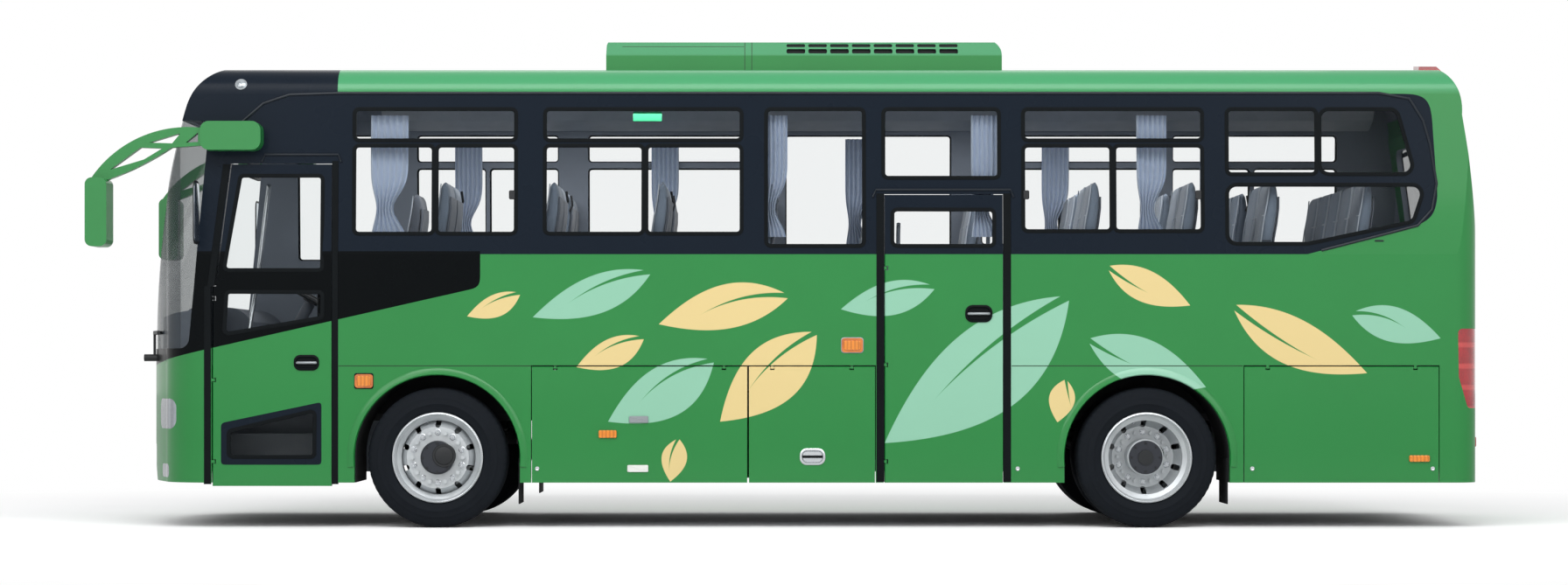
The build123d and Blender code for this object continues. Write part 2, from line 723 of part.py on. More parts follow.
brake_radius = 212
front_mount = 96
rear_mount = -138
spindle_hole = spindle_radius + steer_clearance
front_hub = hub_with_studs(-20, front_mount, 158, hub_radius - 25)
front_hub += Pos(0, 0, -38) * Cylinder(brake_radius, 44)
front_hub += Pos(0, 0, (front_mount - 24) / 2) * Cylinder(150, 50)
front_hub += Pos(0, 0, front_mount - 24) * Cylinder(190, 24)
spindle_out = spindle_end - track_half
front_hub -= Pos(0, 0, spindle_out / 2 - 100) * Cylinder(spindle_hole, spindle_out + 206)
front_rim = rim_barrel() + wheel_disc(front_mount, 0, 100) + front_hub
rear_rim = rim_barrel() + wheel_disc(rear_mount, -20, 100)
inner_rim = mirror(rear_rim, Plane.XY)
inner_rim = Pos(0, 0, -dual_spacing) * inner_rim
rear_hub = hub_with_studs(-200, rear_mount, 60, hub_radius - 15)
rear_hub += Pos(0, 0, -150) * Cylinder(196, 24)
rear_hub += Pos(0, 0, -245) * Cylinder(brake_radius, 90)
rear_hub -= Pos(0, 0, -110) * Cylinder(spindle_hole, 2 * (spindle_out + 113))
rear_hub -= Pos(0, 0, -250) * Cylinder(82, 100)
rear_rims = rear_rim + inner_rim + rear_hub
front_tyre = tyre_ring()
for side, word in ((-1, "left"), (1, "right")):
    save("tyre_front_" + word, place_wheel(front_tyre, front_axle_x, side, track_half))
    outer_tyre = place_wheel(front_tyre, rear_axle_x, side, track_half)
    inner_tyre = place_wheel(front_tyre, rear_axle_x, side, track_half - dual_spacing)
    save("tyre_rear_" + word, outer_tyre, inner_tyre)
    save("rim_front_" + word, place_wheel(front_rim, front_axle_x, side, track_half))
    save("rim_rear_" + word, place_wheel(rear_rims, rear_axle_x, side, track_half))

# Steering knuckles: lugs above and below the eye, a back plate, the spindle, the caliper and the track arm
lug = 38
lug_gap = 5.5
arm_reach = 210
arm_half = 30
arm_z_range = (eye_z[0] - lug_gap - lug, eye_z[0] - lug_gap - lug + 26)
rod_pin = 10
rod_y = kingpin_half
rod_x = front_axle_x + arm_reach - 22
rod_z = arm_z_range[0] - 26


def knuckle(side):
    y = side * kingpin_half
    low = eye_z[0] - lug_gap
    high = eye_z[1] + lug_gap
    plate_y = sorted((side * (kingpin_half + 55), side * (kingpin_half + 78)))
    lug_y = sorted((y, plate_y[0] if side > 0 else plate_y[1]))
    shape = block((front_axle_x - 62, front_axle_x + 62), plate_y, (low - lug, high + lug))
    for z in ((low - lug, low), (high, high + lug)):
        shape += block((front_axle_x - 45, front_axle_x + 45), lug_y, z)
        shape += Pos(front_axle_x, y, sum(z) / 2) * Cylinder(45, lug)
    shape += Pos(front_axle_x, y, sum(eye_z) / 2) * Cylinder(kingpin_radius, high - low + 2 * lug)
    spindle_y = sorted((plate_y[0], side * spindle_end))
    shape += tube_y(spindle_radius, spindle_y, front_axle_x, wheel_z)
    caliper_y = sorted((side * (kingpin_half + 55), side * (track_half + 6)))
    caliper = block((front_axle_x + 120, front_axle_x + 222), caliper_y, (wheel_z - 58, wheel_z + 58))
    slot_y = sorted((side * (track_half - 68), side * (track_half - 8)))
    caliper -= tube_y(brake_radius + 8, slot_y, front_axle_x, wheel_z)
    bracket = block((front_axle_x + 40, front_axle_x + 150), plate_y, (wheel_z - 50, wheel_z + 50))
    arm_y = (y - arm_half, y + arm_half)
    track_arm = block((front_axle_x - 20, front_axle_x + arm_reach), arm_y, arm_z_range)
    pin_hole = Pos(rod_x, side * rod_y, low - lug) * Cylinder(rod_pin + steer_clearance, 100)
    return shape + caliper + bracket + track_arm - pin_hole


save("knuckle_left", knuckle(-1))
save("knuckle_right", knuckle(1))

# Track rod under the arms' ends, with a pin up into each. The arms point straight back from the kingpins,
# so the rod stays square to the coach as the wheels steer.
rod = tube_y(18, (-rod_y, rod_y), rod_x, rod_z)
for side in (-1, 1):
    rod += Pos(rod_x, side * rod_y, rod_z) * Cylinder(24, 40)
    pin_z = (rod_z + arm_z_range[1]) / 2
    rod += Pos(rod_x, side * rod_y, pin_z) * Cylinder(rod_pin, arm_z_range[1] - rod_z)
save("track_rod", rod)

# Mirrors: a pod on the pillar, an open lattice arm and a hanging head
mirror_y = (-half_width - 87, -half_width - 23)
pod_y = (-half_width - 110, 125 - half_width)
head_y = (-half_width - 195, 35 - half_width)
pod = side_profile(Pos(-3690, 2591) * RectangleRounded(400, 190, 60), pod_y) - outer_form
arm_face = outline(
    ThreePointArc((-3880, 2642), (-4330, 2560), (-4610, 2310)),
    Line((-4610, 2310), (-4500, 2300)),
    ThreePointArc((-4500, 2300), (-4270, 2400), (-4080, 2512)),
    Line((-4080, 2512), (-3880, 2526)),
    Line((-3880, 2526), (-3880, 2642)),
)
lattice = [
    outline(Polyline((-3905, 2612), (-3985, 2545), (-3905, 2549), close=True)),
    outline(Polyline((-4225, 2545), (-4020, 2607), (-4075, 2540), close=True)),
    outline(Polyline((-4485, 2366), (-4285, 2512), (-4140, 2507), (-4260, 2434), close=True)),
]
arm = side_profile(arm_face, mirror_y)
for opening in lattice:
    arm -= side_profile(opening, across)
head = side_profile(Pos(-4558, 2084) * RectangleRounded(142, 452, 45), head_y)
near_mirror = pod + arm + head
save("mirrors", near_mirror, mirrored(near_mirror))

# Wipers parked across the foot of the windscreen, their blades following its curve
wiper_skin = body_form(-22) - body_form(-5)
wipers = []
for y in (-560, 300):
    boss = Pos(-4330, y, 1130) * Rot(0, 90, 0) * Cylinder(24, 140)
    boss -= outer_form
    arm_bar = wiper_skin & block(nose_range, (y - 11, y + 11), (1120, 1300))
    blade = wiper_skin & block(nose_range, (y - 240, y + 500), (1288, 1312))
    wipers.append(boss + arm_bar + blade)
save("wipers", *wipers)

# Dashboard across the cab, cut back at the door, with the steering column
dash_face = outline(
    Line((-4320, floor_z), (-3760, floor_z)),
    Line((-3760, floor_z), (-3720, 1380)),
    ThreePointArc((-3720, 1380), (-3850, 1475), (-4000, 1440)),
    Line((-4000, 1440), (-4320, 1400)),
    Line((-4320, 1400), (-4320, floor_z)),
)
dash = side_profile(dash_face, (6 - floor_half, floor_half - 6)) & inner_form
dash -= block((-3900, 0), (-body_width, -260), upward)
wheel_centre = Vector(-3420, driver_y, 1560)
column_tilt = 28
column_axis = Vector(sin(radians(column_tilt)), 0, cos(radians(column_tilt)))
column_foot = wheel_centre - column_axis * 420
column_plane = Plane(origin=column_foot, z_dir=column_axis)
column = column_plane * Cylinder(40, 380, align=(Align.CENTER, Align.CENTER, Align.MIN))
column += block((-3900, -3560), (driver_y - 50, driver_y + 50), (1120, 1260))
column += column_plane * Cylinder(12, 412, align=(Align.CENTER, Align.CENTER, Align.MIN))
save("dashboard", dash + column)
steering = revolve(Plane.XZ * (Pos(215, 0) * RegularPolygon(15, 8)), Axis.Z)
steering += Pos(0, 0, -16) * Cylinder(58, 36)
for turn in (0, 120, 240):
    steering += Rot(0, 0, turn + 90) * Pos(108, 0, -8) * Box(200, 34, 14)
steering -= Pos(0, 0, -30) * Cylinder(12 + seam, 60)
steering += Pos(0, 0, 4) * Cylinder(40, 8)
save("steering_wheel", Plane(origin=wheel_centre, z_dir=column_axis) * steering)

# Seats face forward: a plinth, a cushion and a raked back that bends forward at the headrest
cushion_z = floor_z + 330


def seat(x, y, width):
    top = seat_back_top_z
    half = width / 2
    plinth = block((-140, 180), (120 - half, half - 120), (floor_z, cushion_z - seam))
    cushion = outline(
        Line((-230, cushion_z), (-250, cushion_z + 90)),
        ThreePointArc((-250, cushion_z + 90), (-235, cushion_z + 125), (-200, cushion_z + 130)),
        Line((-200, cushion_z + 130), (150, cushion_z + 105)),
        Line((150, cushion_z + 105), (150, cushion_z)),
        Line((150, cushion_z), (-230, cushion_z)),
    )
    back = outline(
        Line((155, cushion_z), (175, cushion_z + 130)),
        ThreePointArc((175, cushion_z + 130), (190, cushion_z + 330), (243, top - 250)),
        ThreePointArc((243, top - 250), (262, top - 140), (268, top - 45)),
        ThreePointArc((268, top - 45), (298, top), (335, top - 35)),
        ThreePointArc((335, top - 35), (345, top - 180), (318, top - 330)),
        Line((318, top - 330), (262, cushion_z)),
        Line((262, cushion_z), (155, cushion_z)),
    )
    pieces = [plinth, side_profile(cushion, (-half, half)), side_profile(back, (-half, half))]
    return [Pos(x, y, 0) * piece for piece in pieces]


seats = []
for x in left_rows_x:
    seats += seat(x, -pair_half, pair_width)
for x in right_rows_x:
    seats += seat(x, pair_half, pair_width)
seats += seat(bench_x, 0, 2 * floor_half - 120)
save("passenger_seats", *seats)
save("driver_chair", *seat(-2950, driver_y, 520))

# Ducts along the eaves over the windows
# Y from the side of the coach and Z from the head of the band
duct_points = ((49, -78), (49, 122), (405, 182), (405, 82), (325, -18), (165, -78))
duct_face = outline(Polyline(*[(y - half_width, z + band_top_z) for y, z in duct_points], close=True))
duct = cross_profile(duct_face, (cap_rear_x + 52, stern_x - 379)) & inner_form
save("ceiling_racks", duct, mirrored(duct))

# Climate unit on the roof: a low pod with raked flanks, louvred intakes and fan wells
pod_shoulder = (pod_half - 110, pod_top_z - 22)
pod_face = outline(
    Line((-pod_half, pod_foot_z), (-pod_half, pod_crease_z)),
    Line((-pod_half, pod_crease_z), (-pod_shoulder[0], pod_shoulder[1])),
    ThreePointArc((-pod_shoulder[0], pod_shoulder[1]), (0, pod_top_z), pod_shoulder),
    Line(pod_shoulder, (pod_half, pod_crease_z)),
    Line((pod_half, pod_crease_z), (pod_half, pod_foot_z)),
    Line((pod_half, pod_foot_z), (-pod_half, pod_foot_z)),
)
pod_side = Rectangle(pod_x[1] - pod_x[0], pod_top_z - pod_foot_z)
pod_side = Pos(sum(pod_x) / 2, (pod_foot_z + pod_top_z) / 2) * pod_side
for end, radius in enumerate(pod_corner_radii):
    corner = pod_side.vertices().group_by(Axis.Y)[-1].sort_by(Axis.X)[-end]
    pod_side = fillet(corner, radius)
unit = cross_profile(pod_face, pod_x) & side_profile(pod_side, across)
unit -= outer_form
pitch = (grille_x[1] - grille_x[0]) / grille_columns
slots = []
for column_index in range(grille_columns):
    x = grille_x[0] + pitch * (column_index + 0.5)
    for z, height in ((pod_crease_z + 32, 34), (pod_crease_z + 74, 24)):
        slots.append(Pos(x, z) * RectangleRounded(pitch - 22, height, 10))
for face in slots:
    unit -= side_profile(face, (-pod_half, -pod_half + 130))
    unit -= side_profile(face, (pod_half - 130, pod_half))
fan_radius = 185
for x in (grille_x[0] + 150, sum(grille_x) / 2, grille_x[1] - 150):
    well = Pos(x, 0, pod_top_z - 12) * (Cylinder(fan_radius, 60) - Cylinder(70, 60))
    unit -= well
save("roof_aircon", unit)
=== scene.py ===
import json
import math

import bmesh
import bpy
from mathutils import Matrix, Vector
from mathutils.bvhtree import BVHTree
from mathutils.geometry import convex_hull_2d

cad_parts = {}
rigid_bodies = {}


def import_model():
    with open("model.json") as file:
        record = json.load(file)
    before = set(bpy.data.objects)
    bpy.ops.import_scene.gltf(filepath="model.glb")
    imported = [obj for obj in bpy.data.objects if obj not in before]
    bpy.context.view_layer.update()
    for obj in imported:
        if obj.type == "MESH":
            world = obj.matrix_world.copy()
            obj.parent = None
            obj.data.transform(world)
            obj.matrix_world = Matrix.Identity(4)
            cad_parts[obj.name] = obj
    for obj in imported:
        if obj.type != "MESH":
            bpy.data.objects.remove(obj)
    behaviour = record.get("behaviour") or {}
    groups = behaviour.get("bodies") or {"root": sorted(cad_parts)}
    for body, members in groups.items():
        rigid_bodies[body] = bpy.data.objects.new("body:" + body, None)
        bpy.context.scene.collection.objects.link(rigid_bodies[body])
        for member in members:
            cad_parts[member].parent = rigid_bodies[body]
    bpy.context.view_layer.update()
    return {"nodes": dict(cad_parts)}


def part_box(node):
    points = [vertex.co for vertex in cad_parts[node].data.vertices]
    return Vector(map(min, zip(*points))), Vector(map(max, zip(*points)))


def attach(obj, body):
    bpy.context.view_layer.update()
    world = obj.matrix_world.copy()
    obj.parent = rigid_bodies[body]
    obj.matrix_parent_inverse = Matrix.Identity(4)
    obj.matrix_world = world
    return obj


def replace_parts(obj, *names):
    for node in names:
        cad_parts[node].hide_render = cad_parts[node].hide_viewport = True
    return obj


# Looks of an electric coach: paint, glass, rubber, cloth and the small fittings on its CAD frame.
# Metres; the nose is at -X, the doors are on the -Y side.
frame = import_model()
nodes = frame["nodes"]
print("frame loaded:", len(nodes), "nodes")


# One socket of a shader, so that its maths reads as plain arithmetic.
class Wire:
    def __init__(self, paint, socket):
        self.paint = paint
        self.socket = socket

    def calc(self, operation, *others):
        values = dict(enumerate((self,) + others))
        return self.paint.add("Math", {"operation": operation}, values)

    def __add__(self, other):
        return self.calc("ADD", other)

    def __sub__(self, other):
        return self.calc("SUBTRACT", other)

    def __rsub__(self, other):
        return self.paint.add("Math", {"operation": "SUBTRACT"}, {0: other, 1: self})

    def __mul__(self, other):
        return self.calc("MULTIPLY", other)

    def __truediv__(self, other):
        return self.calc("DIVIDE", other)

    def __abs__(self):
        return self.calc("ABSOLUTE")

    __radd__ = __add__
    __rmul__ = __mul__

    def both(self, other):
        return self.calc("MINIMUM", other)

    def either(self, other):
        return self.calc("MAXIMUM", other)

    def roundBoth(self, other, radius):
        return self.calc("SMOOTH_MIN", other, radius)

    def edge(self, width=0.0012):
        # a distance turned into a mask that runs from 0 to 1 over the width
        settings = {"operation": "MULTIPLY_ADD", "use_clamp": True}
        return self.paint.add("Math", settings, {0: self, 1: 1 / width, 2: 0.5})


class Paint:
    # a material, or the sky, and the one method that adds its nodes
    def __init__(self, name, kind="Material"):
        self.holder = (bpy.data.worlds if kind == "World" else bpy.data.materials).new(name)
        self.holder.use_nodes = True
        self.tree = self.holder.node_tree
        self.tree.nodes.clear()
        self.output = self.tree.nodes.new("ShaderNodeOutput" + kind)

    def add(self, kind, settings=None, sockets=None, out=0):
        node = self.tree.nodes.new("ShaderNode" + kind)
        for key, value in (settings or {}).items():
            setattr(node, key, value)
        for key, value in (sockets or {}).items():
            socket = node.inputs[key]
            if isinstance(value, Wire):
                self.tree.links.new(value.socket, socket)
            elif isinstance(value, tuple) and len(value) == 3 and socket.type == "RGBA":
                socket.default_value = (*value, 1)
            else:
                socket.default_value = value
        return Wire(self, node.outputs[out])

    def place(self):
        # X, Y and Z of the coach's own frame, which ride with the piece
        spot = self.add("TexCoord", out=3)
        return [self.add("SeparateXYZ", None, {0: spot}, axis) for axis in range(3)]

    def facing(self):
        # X, Y and Z of the way a face looks
        normal = self.add("TexCoord", out=1)
        return [self.add("SeparateXYZ", None, {0: normal}, axis) for axis in range(3)]

    def noise(self, scale, detail=3.0):
        spot = self.add("TexCoord", out=3)
        return self.add("TexNoise", None, {"Vector": spot, "Scale": scale, "Detail": detail})

    def blend(self, mask, first, second):
        # two colours mixed by a mask
        return self.add("Mix", {"data_type": "RGBA"}, {"Factor": mask, 6: first, 7: second}, 2)

    def bump(self, height, strength, distance=0.001):
        return self.add("Bump", None, {"Strength": strength, "Distance": distance, "Height": height})

    def shader(self, **sockets):
        named = {key.replace("_", " "): value for key, value in sockets.items()}
        return self.add("BsdfPrincipled", None, named)

    def mix(self, mask, first, second):
        return self.add("MixShader", None, {0: mask, 1: first, 2: second})

    def finish(self, shader):
        self.tree.links.new(shader.socket, self.output.inputs[0])
        return self.holder

    def plain(self, **sockets):
        # one shader for the whole piece
        return self.finish(self.shader(**sockets))


def linear(red, green, blue):
    # an sRGB colour from 0 to 255, as the renderer's own linear light
    def channel(value):
        value /= 255
        return value / 12.92 if value <= 0.04045 else ((value + 0.055) / 1.055) ** 2.4

    return (channel(red), channel(green), channel(blue))


def darker(colour, share):
    return tuple(value * share for value in colour)


# The coach's livery: green, a black window band with a swoosh to the nose, and scattered plain leaves
livery = {
    "green": linear(31, 124, 57),
    # painted highlight: the roof is painted a lighter green where the light from above falls on it
    "roofHighlightGreen": linear(58, 146, 94),
    "band": linear(20, 28, 38),
    "swoosh": linear(3, 6, 8),
    "mint": linear(134, 186, 160),
    "cream": linear(214, 192, 134),
    "inside": linear(126, 134, 146),
    "beltZ": 1.812,
    "bandTopZ": 2.878,
    "bandClimb": (3.42, 0.262),
    "bandTailX": 4.282,
    "bandTailRake": (2.2, 0.06),
    "bandRounding": (0.05, 0.22),
    "capTailX": -3.002,
    "capRounding": 0.05,
    "swooshTailX": -2.053,
    "swooshPoint": (-2.134, 1.575),
    "swooshSlope": 0.2265,
    "swooshRounding": 0.09,
    "swooshLap": 0.02,
    "seams": ((1.073, (-2.99, 0.564)), (1.073, (1.462, 2.99))),
    "seamHalf": 0.003,
    "footFrame": ((-3.768, -3.103), 0.418, 0.695, 0.209),
    "footRounding": 0.04,
    "doorSideY": -1.0,
    "leavesFromY": 1.12,
    # where the roof's painted highlight begins
    "roofHighlightZ": 2.9,
    "cabinMiddleZ": 1.7,
}
# every leaf: tint, tip and stem (x, z), bulge above and below the line between them, where the vein ends
# along it and how far off it, and the vein's bow
leaves = (
    ("cream", (-2.139, 1.401), (-1.785, 1.555), 0.062, 0.085, 0.33, 0.014, 0.016),
    ("mint", (-1.705, 1.395), (-0.917, 1.697), 0.115, 0.135, 0.33, 0.009, 0.037),
    ("cream", (-0.871, 1.349), (-0.003, 1.536), 0.165, 0.125, 0.35, 0.012, 0.045),
    ("cream", (-1.416, 1.065), (-0.966, 1.262), 0.085, 0.110, 0.33, 0.023, 0.024),
    ("mint", (-1.207, 0.704), (-0.504, 1.112), 0.150, 0.190, 0.33, 0.014, 0.049),
    ("cream", (-0.466, 0.704), (0.174, 1.297), 0.190, 0.200, 0.35, 0.031, 0.037),
    ("cream", (-0.796, 0.307), (-0.741, 0.594), 0.086, 0.080, 0.28, 0.023, 0.016),
    ("mint", (0.333, 1.448), (0.962, 1.594), 0.105, 0.115, 0.30, 0.020, 0.035),
    ("mint", (0.622, 0.562), (1.846, 1.537), 0.245, 0.330, 0.30, 0.025, 0.050),
    ("cream", (2.643, 1.473), (2.093, 1.732), 0.095, 0.115, 0.50, -0.043, -0.008),
    ("mint", (2.747, 0.932), (1.963, 1.250), 0.150, 0.165, 0.62, -0.043, -0.007),
    ("cream", (1.765, 0.700), (1.821, 0.985), 0.085, 0.085, 0.45, -0.062, 0.002),
    ("cream", (3.813, 1.025), (2.920, 1.476), 0.120, 0.190, 0.37, -0.071, -0.018),
    ("mint", (4.299, 1.256), (3.706, 1.420), 0.120, 0.110, 0.42, 0.009, 0.033),
)


def leafMask(x, z, tip, stem, above, below, veinEnd, veinOff, bow):
    # two shallow arcs that meet at the tip and the stem, parted by a vein that opens towards the stem
    runX = stem[0] - tip[0]
    runZ = stem[1] - tip[1]
    length = math.hypot(runX, runZ)
    along = (x - tip[0]) * (runX / length ** 2) + (z - tip[1]) * (runZ / length ** 2)
    upX, upZ = -runZ / length, runX / length
    if upZ < 0:
        upX, upZ = -upX, -upZ
    across = (x - tip[0]) * upX + (z - tip[1]) * upZ
    held = along.both(1.1).either(-0.1)
    swell = held * (1 - held) * (held * 1.4 + 3.3)
    inside = (swell * above - across).both(swell * below + across)
    reached = (along - veinEnd) / (1 - veinEnd)
    middle = (1 - reached) * (reached * (4 * bow) + veinOff)
    vein = reached * (0.007 + 0.013 * length) - abs(across - middle)
    return inside.edge(0.003) * (1 - vein.edge(0.003))


def coachPaint():
    paint = Paint("coach_paint")
    x, y, z = paint.place()
    _, lookY, lookZ = paint.facing()
    # window band: it ends in a rounded, raked tail, and its foot climbs to the stern
    climbX, climb = livery["bandClimb"]
    rakeZ, rake = livery["bandTailRake"]
    corner, tailCorner = livery["bandRounding"]
    floorLine = ((x - climbX) * climb).either(0.0) + livery["beltZ"]
    band = (z - floorLine).roundBoth(livery["bandTopZ"] - z, corner)
    band = band.roundBoth(livery["bandTailX"] - x - abs((rakeZ - z) * rake), tailCorner)
    # swoosh: it falls to the nose below the band
    fall = (x - livery["swooshPoint"][0]) * livery["swooshSlope"] + livery["swooshPoint"][1]
    swoosh = (z - fall).roundBoth(livery["swooshTailX"] - x, livery["swooshRounding"])
    swoosh = swoosh.both(livery["beltZ"] + livery["swooshLap"] - z)
    # roof cap ahead of its seam, black down to the nose
    cap = (livery["capTailX"] - x).roundBoth(z - livery["beltZ"], livery["capRounding"])
    # black frame round the lowest light of the front door
    (frameFront, frameRear), footZ, headZ, slope = livery["footFrame"]
    foot = x - frameFront
    for edge in (frameRear - x, z - footZ, (x - frameFront) * slope + headZ - z):
        foot = foot.roundBoth(edge, livery["footRounding"])
    foot = foot.both(livery["doorSideY"] - y)
    swooshMask = swoosh.edge()
    dark = band.edge().either(swooshMask).either(cap.edge()).either(foot.edge())
    tints = {"mint": None, "cream": None}
    for tint, *shape in leaves:
        mask = leafMask(x, z, *shape)
        tints[tint] = mask if tints[tint] is None else tints[tint].either(mask)
    side = (abs(y) - livery["leavesFromY"]).edge(0.01)
    green = paint.blend(paint.noise(1.7, 4.0), livery["green"], darker(livery["green"], 0.9))
    # painted highlight: above the eave the roof is painted a lighter green, for the light from above
    green = paint.blend((z - livery["roofHighlightZ"]).edge(0.05), green, livery["roofHighlightGreen"])
    for tint, mask in tints.items():
        green = paint.blend(mask * side, green, livery[tint])
    for seamZ, (front, rear) in livery["seams"]:
        seam = (livery["seamHalf"] - abs(z - seamZ)).both((x - front).both(rear - x)).edge()
        green = paint.blend(seam, green, darker(livery["green"], 0.12))
    ripple = paint.bump(paint.noise(220.0, 2.0), 0.02, 0.0005)
    body = paint.shader(Base_Color=green, Roughness=0.36, Specular_IOR_Level=0.3,
                        Coat_Weight=0.3, Coat_Roughness=0.07, Normal=ripple)
    darkTone = paint.blend(swooshMask, livery["band"], livery["swoosh"])
    darkRough = paint.noise(3.0, 3.0) * 0.12 + 0.22
    shade = paint.shader(Base_Color=darkTone, Roughness=darkRough, Specular_IOR_Level=0.08, Normal=ripple)
    # the lining inside looks towards the middle of the cabin
    inward = (lookY * y + lookZ * (z - livery["cabinMiddleZ"])) * -1.0 - 0.3
    panels = paint.blend(paint.noise(5.0), livery["inside"], darker(livery["inside"], 0.85))
    lining = paint.shader(Base_Color=panels, Roughness=0.7, Normal=paint.bump(paint.noise(400.0), 0.1))
    return paint.finish(paint.mix(inward.edge(0.05), paint.mix(dark, body, shade), lining))


pod = {
    "crease": (0.890, 3.160),
    "rake": 1.111,
    # grilleX, grilleFromY and grilleInset: where the louvres' insides get their painted shade
    "grilleX": (-0.045, 1.15),
    "grilleFromY": 0.66,
    "grilleInset": (0.008, 0.01),
    "seamX": (-0.258, -0.305),
    "seamHalf": 0.003,
    "panel": ((-1.13, -0.31), 3.226, 0.0025),
    # topZ: where the painted highlight on the pod's top begins
    "topZ": 3.163,
}


def podPaint():
    paint = Paint("pod_paint")
    x, y, z = paint.place()
    grain = paint.noise(140.0, 2.0)
    tone = paint.blend(paint.noise(2.2), livery["green"], darker(livery["green"], 0.88))
    # painted highlight: the pod's top is painted a lighter green, for the light from above
    tone = paint.blend((z - pod["topZ"]).edge(0.02), tone, darker(livery["roofHighlightGreen"], 0.92))
    first, second = (pod["seamHalf"] - abs(x - seamX) for seamX in pod["seamX"])
    (front, rear), panelZ, half = pod["panel"]
    panel = (half - abs(z - panelZ)).both(x - front).both(rear - x)
    tone = paint.blend(first.either(second).either(panel).edge(0.002), tone, darker(livery["green"], 0.3))
    # painted shade: the insides of the louvres are painted dark
    creaseY, creaseZ = pod["crease"]
    front, rear = pod["grilleX"]
    deep, low = pod["grilleInset"]
    depth = creaseY - (z - creaseZ) * pod["rake"] - abs(y)
    inside = (depth - deep).both(z - creaseZ - low).both((x - front).both(rear - x))
    inside = inside.both(abs(y) - pod["grilleFromY"]).edge(0.004)
    tone = paint.blend(inside, tone, linear(18, 44, 40))
    bump = paint.bump(grain, 0.04)
    return paint.plain(Base_Color=tone, Roughness=0.38, Coat_Weight=0.3, Coat_Roughness=0.1, Normal=bump)


def plainPaint(name, colour, roughness, metallic=0.0, grain=90.0, depth=0.08, contrast=0.25, coat=0.0,
               specular=0.5):
    # a tone that wanders, a fine grain and a matching roughness
    paint = Paint(name)
    wander = paint.noise(grain * 0.04 + 1.5, 4.0)
    tone = paint.blend(wander, colour, darker(colour, 1 - contrast))
    rough = wander * (roughness * 0.35) + roughness * 0.82
    bump = paint.bump(paint.noise(grain, 3.0), depth)
    return paint.plain(Base_Color=tone, Roughness=rough, Metallic=metallic, Coat_Weight=coat,
                       Specular_IOR_Level=specular, Normal=bump)


def glassPaint(name, tint, veil):
    # clear panes that darken what is behind them and shine at a slant
    paint = Paint(name)
    clear = paint.add("BsdfTransparent", None, {0: tint})
    smear = paint.noise(2.6, 3.0) * 0.02 + 0.015
    shine = paint.shader(Base_Color=veil, Roughness=smear, Specular_IOR_Level=0.5)
    rim = paint.add("Fresnel", None, {"IOR": 1.35})
    return paint.finish(paint.mix(rim * 0.6 + 0.015, clear, shine))


def lampPaint(name, colour, flutes):
    # a clear moulded cover over a bright fluted bowl
    paint = Paint(name)
    x, y, _ = paint.place()
    ribs = (y * flutes + x * flutes * 0.6).calc("SINE")
    cloud = paint.noise(26.0, 3.0)
    tone = paint.blend(ribs * 0.25 + cloud * 0.5, colour, darker(colour, 0.35))
    bump = paint.bump(ribs, 0.35, 0.002)
    return paint.plain(Base_Color=tone, Roughness=0.16, Metallic=0.35, Coat_Weight=1.0,
                       Coat_Roughness=0.04, Normal=bump)


signals = {"sternX": 3.0, "bulbZ": 0.86, "bulbRate": 7.1, "bulbHalf": 0.016, "flutes": 700.0}


def signalPaint():
    # the lenses of both ends: amber at the nose and the flanks, red at the stern
    paint = Paint("signal_lens")
    x, _, z = paint.place()
    stern = x - signals["sternX"]
    flutes = (z * signals["flutes"]).calc("SINE")
    rows = ((z - signals["bulbZ"]) * signals["bulbRate"]).calc("FRACT") - 0.5
    bulbs = (signals["bulbHalf"] - abs(rows) * 0.14).both(stern)
    tone = paint.blend(stern.edge(), linear(232, 134, 34), linear(178, 24, 32))
    tone = paint.blend(paint.noise(14.0), tone, linear(112, 16, 20))
    tone = paint.blend(bulbs.edge(0.01) * 0.5, tone, linear(214, 74, 70))
    bump = paint.bump(flutes, 0.18, 0.001)
    return paint.plain(Base_Color=tone, Roughness=0.18, Coat_Weight=0.9, Coat_Roughness=0.05, Normal=bump)


def clothPaint(name, colour, second, scale=900.0):
    paint = Paint(name)
    spot = paint.add("TexCoord", out=3)
    weave = paint.add("TexWave", {"wave_type": "BANDS", "bands_direction": "DIAGONAL"},
                      {"Vector": spot, "Scale": scale, "Distortion": 1.5}, 1)
    tone = paint.blend(weave * 0.35 + paint.noise(7.0, 4.0) * 0.4, colour, second)
    bump = paint.bump(weave, 0.25, 0.0006)
    return paint.plain(Base_Color=tone, Roughness=0.86, Sheen_Weight=0.25, Normal=bump)


wheels = {
    "frontX": -2.338,
    "rearX": 2.359,
    "axleZ": 0.465,
    "trackHalf": 1.08,
    "twin": 0.3,
    "capRadius": 0.112,
}


def wheelRadius(paint):
    # how far a point is from the nearest axle's line
    x, _, z = paint.place()
    reach = abs(x - wheels["frontX"]).both(abs(x - wheels["rearX"]))
    height = z - wheels["axleZ"]
    return (reach * reach + height * height).calc("SQRT")


def tyrePaint():
    paint = Paint("tyre_rubber")
    ribs = (wheelRadius(paint) * 900.0).calc("SINE")
    grime = paint.noise(9.0, 5.0)
    tone = paint.blend(grime, linear(13, 17, 22), linear(22, 26, 32))
    bump = paint.bump(ribs * 0.15 + paint.noise(160.0) * 0.4, 0.22, 0.002)
    rough = grime * 0.15 + 0.68
    return paint.plain(Base_Color=tone, Roughness=rough, Specular_IOR_Level=0.12, Normal=bump)


def rimPaint():
    paint = Paint("wheel_silver")
    dust = paint.noise(6.0, 5.0)
    silver = paint.blend(dust, linear(206, 210, 212), linear(166, 171, 175))
    tone = paint.blend((wheels["capRadius"] - wheelRadius(paint)).edge(0.002), silver, linear(40, 43, 50))
    bump = paint.bump(paint.noise(300.0), 0.05)
    return paint.plain(Base_Color=tone, Roughness=dust * 0.1 + 0.34, Metallic=0.35, Normal=bump)


